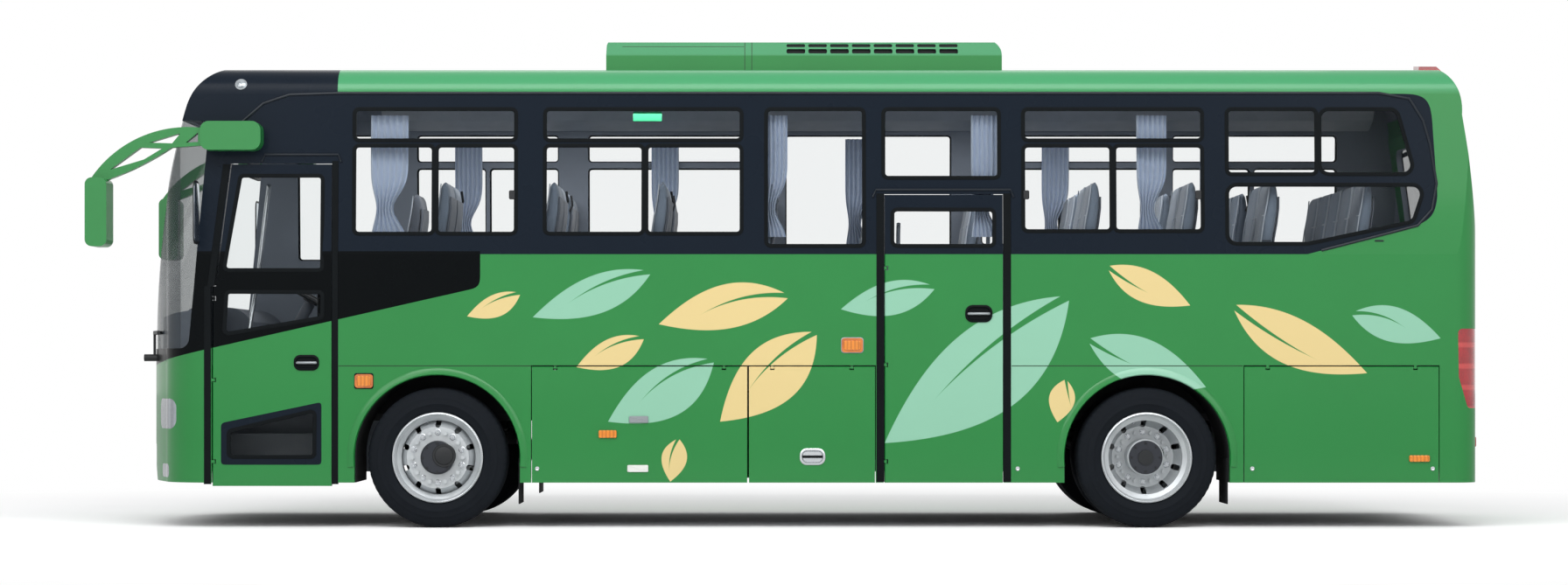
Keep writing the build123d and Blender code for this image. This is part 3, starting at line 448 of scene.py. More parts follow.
plainTones = {
    # name, colour, roughness, metal, grain, depth of the grain, wander of the tone, other settings
    "chassis": ("chassis_black", (40, 42, 46), 0.6, 0.0, 60.0),
    "floor": ("floor_grey", (98, 102, 106), 0.7, 0.0, 120.0),
    "liner": ("liner_black", (24, 26, 29), 0.75, 0.0, 70.0, {"specular": 0.3}),
    "iron": ("axle_iron", (46, 48, 50), 0.55, 0.6, 50.0),
    "steel": ("track_steel", (120, 124, 128), 0.42, 0.8, 80.0),
    "rubber": ("flap_rubber", (22, 24, 27), 0.8, 0.0, 160.0, {"specular": 0.25}),
    "seal": ("seal_rubber", (7, 12, 15), 0.6, 0.0, 140.0, {"specular": 0.1}),
    "trim": ("gutter_trim", (26, 33, 41), 0.42, 0.1, 60.0, {"specular": 0.3}),
    "plastic": ("black_plastic", (26, 28, 31), 0.5, 0.0, 260.0, {"specular": 0.4}),
    "dash": ("dash_grain", (92, 98, 108), 0.62, 0.0, 340.0, 0.15),
    "duct": ("duct_grey", (176, 182, 190), 0.6, 0.0, 200.0),
    "piping": ("seat_piping", (176, 184, 194), 0.7, 0.0, 300.0),
    "shell": ("seat_shell", (92, 98, 108), 0.5, 0.0, 200.0),
    "pack": ("pack_cases", (58, 62, 68), 0.5, 0.2, 40.0),
    "red": ("red_lens", (176, 28, 34), 0.16, 0.0, 14.0, 0.03, 0.3, {"coat": 0.8}),
    "white": ("white_plate", (224, 226, 222), 0.4, 0.0, 40.0, 0.03, 0.08),
    "sign": ("sign_green", (32, 168, 108), 0.4, 0.0, 30.0, 0.02, 0.1),
    "mirror": ("mirror_glass", (196, 206, 216), 0.06, 0.95, 6.0, 0.0, 0.08),
    "chrome": ("bright_trim", (206, 210, 214), 0.24, 0.85, 20.0, 0.02, 0.1),
    "grey": ("handle_grey", (150, 156, 160), 0.38, 0.3, 60.0),
}
print("materials: building")
finishes = {
    "coach": coachPaint(),
    "pod": podPaint(),
    "glass": glassPaint("window_glass_tint", (0.99, 0.995, 0.995), (0.02, 0.03, 0.04)),
    "screen": glassPaint("windscreen_glass", (0.97, 0.98, 0.98), (0.03, 0.04, 0.05)),
    "tyre": tyrePaint(),
    "rim": rimPaint(),
    "lens": lampPaint("clear_lens", linear(158, 166, 172), 160.0),
    "amber": lampPaint("amber_lens", linear(238, 140, 36), 420.0),
    "signal": signalPaint(),
    "seat": clothPaint("seat_cloth", linear(112, 124, 138), linear(84, 96, 112)),
    "driver": clothPaint("driver_cloth", linear(84, 90, 100), linear(60, 66, 76)),
    "curtain": clothPaint("curtain_cloth", linear(190, 202, 220), linear(158, 172, 194), 1500.0),
}
for key, (name, colour, *numbers) in plainTones.items():
    named = numbers.pop() if isinstance(numbers[-1], dict) else {}
    finishes[key] = plainPaint(name, linear(*colour), *numbers, **named)
nodeFinishes = {
    "coach": ("left_wall", "right_wall", "roof_shell", "front_mask", "rear_panel", "front_door",
              "mid_door", "left_flap_front", "left_flap_centre", "left_flap_rear", "right_flap_front",
              "right_flap_rear", "rear_hood"),
    "pod": ("roof_aircon", "mirrors"),
    "glass": ("window_glass", "mid_door_glass"),
    "screen": ("windscreen", "front_door_glass"),
    "tyre": ("tyre_front_left", "tyre_front_right", "tyre_rear_left", "tyre_rear_right"),
    "rim": ("rim_front_left", "rim_front_right", "rim_rear_left", "rim_rear_right"),
    "chassis": ("chassis_frame",),
    "floor": ("floor_deck",),
    "liner": ("wheel_arches",),
    "iron": ("front_axle", "rear_axle", "knuckle_left", "knuckle_right"),
    "steel": ("track_rod",),
    "rubber": ("mudflaps",),
    "plastic": ("wipers", "steering_wheel"),
    "dash": ("dashboard",),
    "duct": ("ceiling_racks",),
    "pack": ("battery_packs",),
    "lens": ("headlamps",),
    "signal": ("signal_lamps",),
    "seat": ("passenger_seats",),
    "driver": ("driver_chair",),
}
for finish, names in nodeFinishes.items():
    for name in names:
        for materialSlot in nodes[name].material_slots:
            materialSlot.material = finishes[finish]
print("materials: done")


def placed(name, data):
    # a new object in the scene
    item = bpy.data.objects.new(name, data)
    bpy.context.scene.collection.objects.link(item)
    return item


def circle(sides):
    # points of a round section, one unit from its middle
    turns = [2 * math.pi * side / sides for side in range(sides)]
    return [(math.cos(turn), math.sin(turn)) for turn in turns]


# Sketch: what a maker draws a piece with, before it becomes one object that rides on a body
class Sketch:
    def __init__(self):
        self.shape = bmesh.new()

    def ring(self, points):
        return [self.shape.verts.new(point) for point in points]

    def skin(self, first, second, closed=True):
        # faces between two rings of as many points
        count = len(first)
        for index in range(count if closed else count - 1):
            following = (index + 1) % count
            self.shape.faces.new((first[index], first[following], second[following], second[index]))

    def cap(self, ring):
        self.shape.faces.new(ring)

    def rings(self, stations, closed=True, ends=True):
        drawn = [self.ring(points) for points in stations]
        for first, second in zip(drawn, drawn[1:]):
            self.skin(first, second, closed)
        if ends:
            self.cap(drawn[0][::-1])
            self.cap(drawn[-1])

    def prism(self, points, depth):
        self.rings([points, [Vector(point) + Vector(depth) for point in points]])

    def block(self, low, high):
        (x0, y0, z0), (x1, y1, z1) = low, high
        self.prism([(x0, y0, z0), (x1, y0, z0), (x1, y1, z0), (x0, y1, z0)], (0, 0, z1 - z0))

    def tube(self, path, radius, sides=8, closed=False, flat=1.0):
        # a round bar along a path; flat squeezes it across its second direction
        path = [Vector(point) for point in path]
        count = len(path)
        stations = []
        across = None
        for index, point in enumerate(path):
            before = path[index - 1] if index or closed else point
            after = path[(index + 1) % count] if index < count - 1 or closed else point
            run = (after - before).normalized()
            if across is None:
                across = run.orthogonal().normalized()
            across = (across - run * across.dot(run)).normalized()
            up = run.cross(across)
            stations.append([point + across * (radius * right) + up * (radius * flat * rise)
                             for right, rise in circle(sides)])
        if closed:
            stations.append(stations[0])
        self.rings(stations, True, not closed)
        if closed:
            bmesh.ops.remove_doubles(self.shape, verts=self.shape.verts, dist=1e-6)

    def lathe(self, profile, centre, axis, sides=32):
        # (radius, height) pairs turned about an axis
        turn = Vector((0, 0, 1)).rotation_difference(Vector(axis)).to_matrix()
        stations = []
        for radius, height in profile:
            spots = [Vector((radius * right, radius * rise, height)) for right, rise in circle(sides)]
            stations.append([Vector(centre) + turn @ spot for spot in spots])
        self.rings(stations)

    def stamp(self, mesh, spots):
        # copies of a mesh, one for each matrix
        for spot in spots:
            start = len(self.shape.verts)
            self.shape.from_mesh(mesh)
            self.shape.verts.ensure_lookup_table()
            bmesh.ops.transform(self.shape, matrix=spot, verts=self.shape.verts[start:])

    def leave(self, name, finish, body="coach", soften=0.0, smooth=True):
        bmesh.ops.recalc_face_normals(self.shape, faces=self.shape.faces)
        mesh = bpy.data.meshes.new(name)
        self.shape.to_mesh(mesh)
        self.shape.free()
        piece = placed(name, mesh)
        for polygon in mesh.polygons:
            polygon.use_smooth = smooth
        if smooth:
            mesh.set_sharp_from_angle(angle=math.radians(38))
        mesh.materials.append(finishes[finish])
        if soften:
            bevel = piece.modifiers.new("soften", "BEVEL")
            bevel.width = soften
            bevel.segments = 2
            bevel.limit_method = "ANGLE"
            bevel.angle_limit = math.radians(35)
        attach(piece, body)
        return piece


def around(middle, half):
    return (middle - half, middle + half)


def evenSteps(low, high, steps):
    return [low + (high - low) * index / steps for index in range(steps + 1)]


def roundedRect(x, z, radius, steps=4):
    # corner arcs, counter-clockwise from the lower right one
    corners = (
        (x[1] - radius, z[0] + radius, -90),
        (x[1] - radius, z[1] - radius, 0),
        (x[0] + radius, z[1] - radius, 90),
        (x[0] + radius, z[0] + radius, 180),
    )
    points = []
    for centreX, centreZ, start in corners:
        for step in range(steps + 1):
            turn = math.radians(start + 90 * step / steps)
            points.append((centreX + radius * math.cos(turn), centreZ + radius * math.sin(turn)))
    return points


def grow(points, distance):
    # a closed outline moved outwards by a distance
    moved = []
    count = len(points)
    for index, point in enumerate(points):
        before, after = Vector(points[index - 1]), Vector(points[(index + 1) % count])
        point = Vector(point)
        first, second = (point - before).normalized(), (after - point).normalized()
        normals = Vector((first.y, -first.x)) + Vector((second.y, -second.x))
        share = 1 + first.dot(second)
        moved.append(tuple(point + normals * (distance / max(share, 0.2))))
    return moved


# The flank leans in above the belt; everything on a side sits on it
flank = {"half": 1.225, "beltZ": 1.812, "eaveHalf": 1.178, "eaveZ": 2.878}


def flankY(z):
    rise = max(z - flank["beltZ"], 0) / (flank["eaveZ"] - flank["beltZ"])
    return flank["half"] + (flank["eaveHalf"] - flank["half"]) * rise


def onSide(points, lift, side=-1):
    return [(x, side * (flankY(z) + lift), z) for x, z in points]


# How far the foot of a fitting is sunk in the skin
sunk = -0.004


def moulding(sketch, outline, lap, width, proud, side):
    # a closed rubber or metal frame round an outline, with a crowned face
    outer = width - lap
    middle = (outer - lap) * 0.5
    rises = ((-lap, sunk), (-lap, proud * 0.6), (middle, proud), (outer, proud * 0.6), (outer, sunk))
    sketch.rings([onSide(grow(outline, out), lift, side) for out, lift in rises], True, False)


def looseParts(node):
    # the solids of a CAD node, each as its points
    shape = bmesh.new()
    shape.from_mesh(nodes[node].data)
    bmesh.ops.remove_doubles(shape, verts=shape.verts, dist=1e-5)
    left = set(shape.verts)
    parts = []
    while left:
        reached = [left.pop()]
        part = []
        while reached:
            corner = reached.pop()
            part.append(corner.co.copy())
            for edge in corner.link_edges:
                other = edge.other_vert(corner)
                if other in left:
                    left.remove(other)
                    reached.append(other)
        parts.append(part)
    shape.free()
    return parts


def crosses(part):
    # whether a solid reaches over the coach's middle
    across = [spot.y for spot in part]
    return min(across) * max(across) < 0


shortestEdge = 0.012


def paneOutlines(node):
    # each side pane's outline in X and Z, with the side it is on
    found = []
    for part in looseParts(node):
        if crosses(part) or max(abs(spot.y) for spot in part) < 1.0:
            continue
        flat = [Vector((spot.x, spot.z)) for spot in part]
        outline = []
        for index in convex_hull_2d(flat):
            if not outline or (flat[index] - Vector(outline[-1])).length > shortestEdge:
                outline.append(tuple(flat[index]))
        if (Vector(outline[0]) - Vector(outline[-1])).length < shortestEdge:
            outline.pop()
        found.append((outline, -1 if part[0].y < 0 else 1))
    return found


# Skin: the outer body as one searchable surface, so that a fitting sits on it wherever it curves
skinNodes = ("left_wall", "right_wall", "roof_shell", "front_mask", "rear_panel", "rear_hood",
             "windscreen", "headlamps", "front_door", "mid_door", "roof_aircon", "mirrors", "window_glass")
skinPoints, skinFaces = [], []
for name in skinNodes:
    data = nodes[name].data
    start = len(skinPoints)
    skinPoints += [corner.co.copy() for corner in data.vertices]
    skinFaces += [[start + index for index in polygon.vertices] for polygon in data.polygons]
skin = BVHTree.FromPolygons(skinPoints, skinFaces)


def cast(origin, direction, lift=0.0):
    # where a line from outside meets the skin, and the way out there
    spot, normal, _, _ = skin.ray_cast(Vector(origin), Vector(direction).normalized())
    if normal.dot(Vector(direction)) > 0:
        normal = -normal
    return spot + normal * lift, normal


def trace(path, step, side, lift):
    # a path of (x, z) corners laid on the skin of a flank
    laid = []
    for (x0, z0), (x1, z1) in zip(path, path[1:]):
        count = max(1, math.ceil(math.hypot(x1 - x0, z1 - z0) / step))
        laid += list(zip(evenSteps(x0, x1, count), evenSteps(z0, z1, count)))[:-1]
    laid.append(path[-1])
    return [cast((x, side * 3, z), (0, -side, 0), lift)[0] for x, z in laid]


def slab(sketch, rows, proud):
    # a strip up the left flank; each row is (z, front edge, rear edge)
    stations = []
    for z, front, rear in rows:
        low, high = -(flankY(z) + sunk), -(flankY(z) + proud)
        chamfer = min(proud, (rear - front) / 3)
        stations.append([(front, low, z), (front + chamfer, high, z), (rear - chamfer, high, z),
                         (rear, low, z)])
    sketch.rings(stations)


def pillow(sketch, outline, proud, inset, side=-1, dish=0.0):
    # a low domed or dished lump with an outline on the flank
    inner = grow(outline, -inset)
    rises = ((outline, sunk), (outline, proud * 0.6), (grow(outline, -inset * 0.4), proud * 0.95),
             (inner, proud), (grow(inner, -inset * 0.5), proud - dish))
    sketch.rings([onSide(shape, lift, side) for shape, lift in rises])


# Doors and flaps of each side, which carry the fittings on them
hatches = {
    -1: ("front_door", "mid_door", "left_flap_front", "left_flap_centre", "left_flap_rear"),
    1: ("right_flap_front", "right_flap_rear"),
}
hatchBoxes = {name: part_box(name) for names in hatches.values() for name in names}


def bodyAt(x, z, side=-1):
    for name in hatches[side]:
        low, high = hatchBoxes[name]
        if low.x <= x <= high.x and low.z <= z <= high.z:
            return name + ("_leaf" if name.endswith("door") else "_body")
    return "coach"


# Fittings of one kind and body gather in one sketch, and become one piece
gathered = {}


def gather(name, finish, body="coach", soften=0.0):
    key = (name, finish, body, soften)
    if key not in gathered:
        gathered[key] = Sketch()
    return gathered[key]


def leaveGathered():
    for (name, finish, body, soften), sketch in gathered.items():
        ending = "" if body == "coach" else "_" + body
        sketch.leave(name + ending, finish, body, soften)
    gathered.clear()


# Rubbers round every light, with drain marks below the large panes and the sliders' locks
lights = {"lap": 0.010, "width": 0.026, "proud": 0.0035, "largeFrom": 1.0, "largeFootZ": 2.0}
drains = {"shares": (0.2, 0.78), "half": 0.03, "rise": (0.012, 0.022), "radius": 0.004, "proud": 0.006}
locks = {"spots": ((-1.844, 2.206), (1.560, 2.206), (2.700, 2.206)), "half": (0.02, 0.03), "radius": 0.01}
glazed = {
    "window_glass": "coach",
    "front_door_glass": "front_door_leaf",
    "mid_door_glass": "mid_door_leaf",
}
for node, body in glazed.items():
    for outline, side in paneOutlines(node):
        rubber = gather("window_rubbers", "seal", body)
        moulding(rubber, outline, lights["lap"], lights["width"], lights["proud"], side)
        front, rear = min(x for x, _ in outline), max(x for x, _ in outline)
        foot = min(z for _, z in outline)
        if rear - front > lights["largeFrom"] and foot < lights["largeFootZ"]:
            marks = gather("drain_marks", "trim", body)
            zs = [foot + rise for rise in drains["rise"]]
            for share in drains["shares"]:
                xs = around(front + (rear - front) * share, drains["half"])
                pillow(marks, roundedRect(xs, zs, drains["radius"], 2), drains["proud"], 0.003, side)
for x, z in locks["spots"]:
    for side in (-1, 1):
        shape = roundedRect(around(x, locks["half"][0]), around(z, locks["half"][1]), locks["radius"])
        pillow(gather("slider_locks", "plastic"), shape, 0.010, 0.006, side)
print("body: windows")

# Black seal strips beside the doors; the first leans back with the front edge of its door, and those of
# the other door end short of its leaf
leafGap = 0.0015
midFront, midRear = hatchBoxes["mid_door"][0].x - leafGap, hatchBoxes["mid_door"][1].x + leafGap
strips = {
    "rows": (
        ((0.29, -3.882, -3.832), (1.596, -3.882, -3.832), (1.604, -3.860, -3.809),
         (1.812, -3.834, -3.783), (2.409, -3.760, -3.709)),
        ((0.29, -3.036, -2.991), (1.812, -3.036, -2.991), (2.43, -3.036, -2.991)),
        ((0.305, 0.566, midFront), (1.812, 0.566, midFront), (2.215, 0.566, midFront)),
        ((0.305, midRear, 1.460), (1.812, midRear, 1.460), (2.215, midRear, 1.460)),
    ),
    "proud": 0.0035,
    "gutters": (((-3.50, 2.474), (-2.975, 2.474)), ((0.545, 2.240), (1.475, 2.240))),
    "gutterEnd": (0.02, 0.05),
    "gutterRadius": 0.008,
}
for rows in strips["rows"]:
    slab(gather("door_seals", "seal"), rows, strips["proud"])
turned, dropped = strips["gutterEnd"]
for (x0, z0), (x1, z1) in strips["gutters"]:
    path = [(x0, z0 - dropped), (x0 + turned, z0), (x1 - turned, z1), (x1, z1 - dropped)]
    gather("door_gutters", "trim").tube(onSide(path, 0.004), strips["gutterRadius"])

# Gutter rail: from the brow back along the eave, and round the band's tail on both sides
rail = {
    "path": ((-3.639, 2.687), (-3.494, 2.814), (-3.321, 2.872), (-3.0, 2.882), (3.9, 2.882),
             (4.10, 2.845), (4.190, 2.70), (4.235, 2.542), (4.276, 2.281), (4.245, 2.108),
             (4.149, 2.003), (3.93, 1.945), (3.512, 1.838)),
    "radius": 0.009,
    "step": 0.12,
    "lift": 0.002,
}
for side in (-1, 1):
    path = trace(rail["path"], rail["step"], side, rail["lift"])
    gather("gutter_rail", "trim").tube(path, rail["radius"])

# Arch lips: a rolled edge round each wheel opening
lips = {
    "section": ((0.547, -0.004), (0.553, 0.011), (0.588, 0.008), (0.600, -0.003)),
    "from": -6,
    "steps": 48,
}
for centreX in (wheels["frontX"], wheels["rearX"]):
    for side in (-1, 1):
        stations = []
        for degrees in evenSteps(lips["from"], 180 - lips["from"], lips["steps"]):
            right, rise = math.cos(math.radians(degrees)), math.sin(math.radians(degrees))
            stations.append([(centreX + radius * right, side * (flank["half"] + proud),
                              wheels["axleZ"] + radius * rise) for radius, proud in lips["section"]])
        gather("arch_lips", "coach").rings(stations)
print("body: rails and lips")

# Handles, markers and lamps of the flanks: name, finish, x range, z range, corner radius, height, sides
flankFittings = (
    ("marker_lamps", "amber", (-1.271, -1.149), (0.596, 0.648), 0.010, 0.014, (-1, 1)),
    ("marker_lamps", "amber", (4.090, 4.227), (0.438, 0.482), 0.010, 0.014, (-1, 1)),
    ("step_lamp", "white", (-1.080, -0.941), (0.370, 0.417), 0.008, 0.010, (-1,)),
    ("flap_pulls", "grey", (-1.068, -0.941), (0.695, 0.741), 0.008, 0.012, (-1, 1)),
    ("marker_bezels", "seal", (-2.886, -2.759), (0.921, 1.025), 0.014, 0.006, (-1, 1)),
    ("marker_lenses", "amber", (-2.868, -2.778), (0.938, 1.008), 0.010, 0.014, (-1, 1)),
    ("turn_bezels", "grey", (0.333, 0.483), (1.158, 1.262), 0.020, 0.006, (-1, 1)),
    ("turn_lenses", "amber", (0.352, 0.464), (1.178, 1.242), 0.014, 0.014, (-1, 1)),
)
for name, finish, xs, zs, radius, proud, sides in flankFittings:
    for side in sides:
        body = bodyAt(sum(xs) / 2, sum(zs) / 2, side)
        pillow(gather(name, finish, body), roundedRect(xs, zs, radius), proud, min(radius, 0.006), side)
# three-cornered latches low on the flaps
latches = {"x": (-1.676, 1.502, 3.054, 4.247), "half": 0.014, "z": (0.379, 0.407), "bodyZ": 0.40}
for x in latches["x"]:
    for side in (-1, 1):
        shape = roundedRect(around(x, latches["half"]), latches["z"], 0.012)
        body = bodyAt(x, latches["bodyZ"], side)
        pillow(gather("flap_latches", "chrome", body), shape, 0.007, 0.006, side, dish=0.002)
# door handles: a dished cup with a bar across it
handles = {
    "cups": (((-3.286, -3.118), (1.042, 1.146), "seal"), ((1.155, 1.335), (1.361, 1.476), "seal"),
             ((0.061, 0.229), (0.417, 0.527), "chrome")),
    "rounding": 0.42,
    "bar": ((0.02, 0.002), (0.035, 0.015)),
    "barRadius": 0.0085,
}
for xs, zs, finish in handles["cups"]:
    middle = sum(zs) / 2
    body = bodyAt(sum(xs) / 2, middle)
    outline = roundedRect(xs, zs, (zs[1] - zs[0]) * handles["rounding"], 6)
    pillow(gather("handle_cups", finish, body), outline, 0.010, 0.014, dish=0.008)
    half = [(xs[0] + inwards, lift) for inwards, lift in handles["bar"]]
    half += [(xs[1] - inwards, lift) for inwards, lift in reversed(handles["bar"])]
    bar = [(x, -(flankY(middle) + lift), middle) for x, lift in half]
    gather("handle_bars", "grey" if finish == "seal" else "seal", body).tube(bar, handles["barRadius"])
print("body: fittings")

# Oval marker lamps on both shoulders of the brow
brow = {"spot": (-3.62, 1.08, 2.905), "aim": (0.30, 1.0, -0.45), "radius": 0.034}
for side in (-1, 1):
    aim = Vector(brow["aim"]) * Vector((1, -side, 1))
    target = Vector(brow["spot"]) * Vector((1, side, 1))
    spot, normal = cast(target - aim * 2, aim, -0.003)
    for name, finish, profile in (
            ("brow_lamps", "lens", ((1, 0), (1, 0.006), (0.85, 0.011), (0.4, 0.014))),
            ("brow_bezels", "grey", ((1.16, 0), (1.16, 0.004), (1.02, 0.006)))):
        rings = [(brow["radius"] * share, height) for share, height in profile]
        gather(name, finish).lathe(rings, spot, normal, 28)

# Mirror glasses in dark bezels on the rear faces of both heads
mirrors = {
    "y": (1.205, 1.405),
    "z": (1.885, 2.285),
    "rounding": 0.05,
    "thick": 0.006,
    "fromX": -3.9,
    "layers": (("mirror_bezels", "plastic", 0.010, 0.004), ("mirror_glasses", "mirror", -0.006, 0.006)),
}
for side in (-1, 1):
    outline = roundedRect(mirrors["y"], mirrors["z"], mirrors["rounding"], 5)
    for name, finish, out, lift in mirrors["layers"]:
        face = [(side * y, z) for y, z in grow(outline, out)]
        back = max(cast((mirrors["fromX"], y, z), (-1, 0, 0), lift)[0].x for y, z in face)
        flat = [(back, y, z) for y, z in face]
        gather(name, finish, soften=0.002).prism(flat, (-mirrors["thick"], 0, 0))


def onEnd(points, lift, end):
    # spots on the nose or the stern; where a line slips through a gap, its spot keeps level with the rest
    spots = [cast((end * 6, y, z), (-end, 0, 0), lift)[0] for y, z in points]
    face = max(end * spot.x for spot in spots)
    deepest = face - 0.15
    return [spot if end * spot.x > deepest else Vector((end * face, y, z))
            for spot, (y, z) in zip(spots, points)]


def badge(name, finish, body, end, outline, proud):
    # a low lump laid on the nose or the stern
    layers = ((outline, sunk), (outline, proud * 0.7), (grow(outline, sunk), proud))
    gather(name, finish, body).rings([onEnd(shape, lift, end) for shape, lift in layers])


# Plates at both ends; vents, reflectors and the rubber round the rear light at the stern
plates = {
    "y": (-0.27, 0.27),
    "high": 0.13,
    "rim": 0.012,
    "ends": ((1, 0.62, "rear_hood_body"), (-1, 0.60, "coach")),
}
stern = {
    "ventY": (-0.55, 0.55),
    "ventZ": (0.86, 0.90, 0.94, 0.98),
    "ventHigh": 0.018,
    "reflectorY": (0.90, 1.08),
    "reflectorZ": (0.535, 0.60),
    "rubber": ((-0.010, -0.002), (-0.006, 0.003), (0.008, 0.004), (0.020, 0.003), (0.024, -0.003)),
}
for end, low, body in plates["ends"]:
    outline = roundedRect(plates["y"], (low, low + plates["high"]), plates["rim"])
    badge("plate_holders", "plastic", body, end, grow(outline, plates["rim"]), 0.008)
    badge("blank_plates", "white", body, end, outline, 0.009)
for z in stern["ventZ"]:
    slot = roundedRect(stern["ventY"], (z, z + stern["ventHigh"]), 0.008, 3)
    badge("hood_vents", "plastic", "rear_hood_body", 1, slot, 0.006)
for side in (-1, 1):
    ys = sorted(side * y for y in stern["reflectorY"])
    badge("stern_reflectors", "red", "coach", 1, roundedRect(ys, stern["reflectorZ"], 0.01), 0.008)
for part in filter(crosses, looseParts("window_glass")):
    flat = [Vector((spot.y, spot.z)) for spot in part]
    outline = [tuple(flat[index]) for index in convex_hull_2d(flat)]
    outline = [spot for index, spot in enumerate(outline)
               if math.dist(spot, outline[index - 1]) > shortestEdge]
    layers = [onEnd(grow(outline, out), lift, 1) for out, lift in stern["rubber"]]
    gather("window_rubbers", "seal").rings(layers, True, False)

# Nose: slats across the low grille, before a dark backing
grille = {"y": (-0.55, 0.55), "z": (0.395, 0.545), "slats": 4, "back": -0.035, "slatBack": -0.014,
          "slatRadius": 0.011, "lap": 0.016, "above": 0.02, "thick": 0.006}
outline = grow(roundedRect(grille["y"], grille["z"], 0.02, 3), grille["lap"])
spots = onEnd(outline, grille["back"], -1)
behind = [spot + Vector((grille["thick"], 0, 0)) for spot in spots]
gather("grille_back", "liner").rings([spots, behind])
low, high = grille["z"]
for index in range(grille["slats"]):
    z = low + (index + 0.5) * (high - low) / grille["slats"]
    above = [(y, high + grille["above"]) for y in evenSteps(*grille["y"], 16)]
    line = onEnd(above, grille["slatBack"], -1)
    path = [(spot.x, spot.y, z) for spot in line]
    gather("grille_slats", "plastic").tube(path, grille["slatRadius"], flat=0.6)
leaveGathered()
print("body: stern and mirrors")


# Tyres, which stand for the CAD ones: a ribbed tread with notched shoulders, and rings on the sidewalls
tyre = {
    "notches": 60,
    "notchDepth": 0.006,
    "shoulder": (0.096, 0.114),
    "treadFrom": 0.43,
    "section": (
        (0.292, -0.098), (0.300, -0.108), (0.318, -0.116), (0.352, -0.1225), (0.3545, -0.1250),
        (0.360, -0.1250), (0.3625, -0.1235), (0.396, -0.1240), (0.399, -0.1215), (0.418, -0.1190),
        (0.438, -0.1130),
        (0.452, -0.1060), (0.4600, -0.0980), (0.4625, -0.0660), (0.4530, -0.0640), (0.4530, -0.0560),
        (0.4640, -0.0540), (0.4648, -0.0220), (0.4540, -0.0200), (0.4540, -0.0120), (0.4650, -0.0100),
    ),
}
section = list(tyre["section"])
section += [(radius, -across) for radius, across in reversed(section)]


def lathedTyre(sketch, centreX, centreY):
    stations = []
    count = tyre["notches"] * 3
    inner, outer = tyre["shoulder"]
    for index in range(count + 1):
        turn = 2 * math.pi * index / count
        spots = []
        for radius, across in section:
            shoulder = inner < abs(across) < outer and radius > tyre["treadFrom"]
            reach = radius - (tyre["notchDepth"] if shoulder and index % 3 == 0 else 0)
            x, z = centreX + reach * math.cos(turn), wheels["axleZ"] + reach * math.sin(turn)
            spots.append((x, centreY + across, z))
        stations.append(spots)
    sketch.rings(stations, True, False)
    bmesh.ops.remove_doubles(sketch.shape, verts=sketch.shape.verts, dist=1e-6)


# Wheels: nuts on their washers, a hub cap with rings, a valve and the rolled edge of the rim
hub = {
    "nuts": 10,
    "nutCircle": 0.1675,
    "nutRadius": 0.0165,
    "nutHeight": 0.022,
    "cap": ((0.078, 0), (0.078, 0.006), (0.074, 0.010), (0.062, 0.010), (0.058, 0.016), (0.040, 0.020),
            (0.018, 0.022)),
    "capBolts": 8,
    "capBolt": ((0.008, 0), (0.008, 0.008), (0.006, 0.010)),
    "boltCircle": 0.096,
    "edge": (0.2915, 0.0035, 72),
    "valve": (0.235, 1.9, 0.004),
}


def treeOf(node):
    data = nodes[node].data
    corners = [corner.co for corner in data.vertices]
    return BVHTree.FromPolygons(corners, [face.vertices for face in data.polygons])


def dress(place, centreX, sideName, side):
    # one wheel place: its tyres, nuts, cap and rim edge
    ending = place + "_" + sideName
    body = "wheel_" + ending
    out = (0, side, 0)
    rubber = Sketch()
    lathedTyre(rubber, centreX, side * wheels["trackHalf"])
    if place == "rear":
        lathedTyre(rubber, centreX, side * (wheels["trackHalf"] - wheels["twin"]))
    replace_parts(rubber.leave("tyre_detail_" + ending, "tyre", body), "tyre_" + ending)
    tree = treeOf("rim_" + ending)

    def onRim(radius, turn, lift=0.0):
        # the outer face of the wheel at a radius and an angle
        x, z = centreX + radius * math.cos(turn), wheels["axleZ"] + radius * math.sin(turn)
        spot = tree.ray_cast(Vector((x, side * 2, z)), Vector((0, -side, 0)))[0]
        return Vector((x, spot.y + side * lift, z)) if spot else Vector((x, side * 1.1, z))

    nuts = Sketch()
    size, height = hub["nutRadius"], hub["nutHeight"]
    for index in range(hub["nuts"]):
        seat = onRim(hub["nutCircle"], 2 * math.pi * (index + 0.5) / hub["nuts"], -0.002)
        nuts.lathe(((size * 1.3, 0), (size * 1.3, 0.004), (size * 1.1, 0.006)), seat, out, 16)
        nuts.lathe(((size, 0.005), (size, height * 0.8), (size * 0.82, height)), seat, out, 6)
        stud = ((0.008, height * 0.9), (0.008, height + 0.008), (0.006, height + 0.010))
        nuts.lathe(stud, seat, out, 10)
    nuts.leave("wheel_nuts_" + ending, "chrome", body, smooth=False)
    cap = Sketch()
    cap.lathe(hub["cap"], onRim(0.05, 0.3, -0.002), out, 40)
    for index in range(hub["capBolts"]):
        turn = 2 * math.pi * index / hub["capBolts"]
        cap.lathe(hub["capBolt"], onRim(hub["boltCircle"], turn, -0.001), out, 6)
    cap.leave("hub_cap_" + ending, "plastic", body)
    edge = Sketch()
    edgeRadius, wire, count = hub["edge"]
    path = [onRim(edgeRadius, 2 * math.pi * index / count) for index in range(count)]
    level = sum(spot.y for spot in path) / count
    edge.tube([(spot.x, level, spot.z) for spot in path], wire, closed=True)
    valveRadius, turn, thick = hub["valve"]
    valve = onRim(valveRadius, turn)
    bend, tip = Vector((0, side * 0.02, 0)), Vector((0.01, side * 0.045, 0.02))
    edge.tube([valve, valve + bend, valve + tip], thick)
    edge.leave("rim_edge_" + ending, "chrome", body)


for place, centreX in (("front", wheels["frontX"]), ("rear", wheels["rearX"])):
    for sideName, side in (("left", -1), ("right", 1)):
        dress(place, centreX, sideName, side)
print("wheels: done")


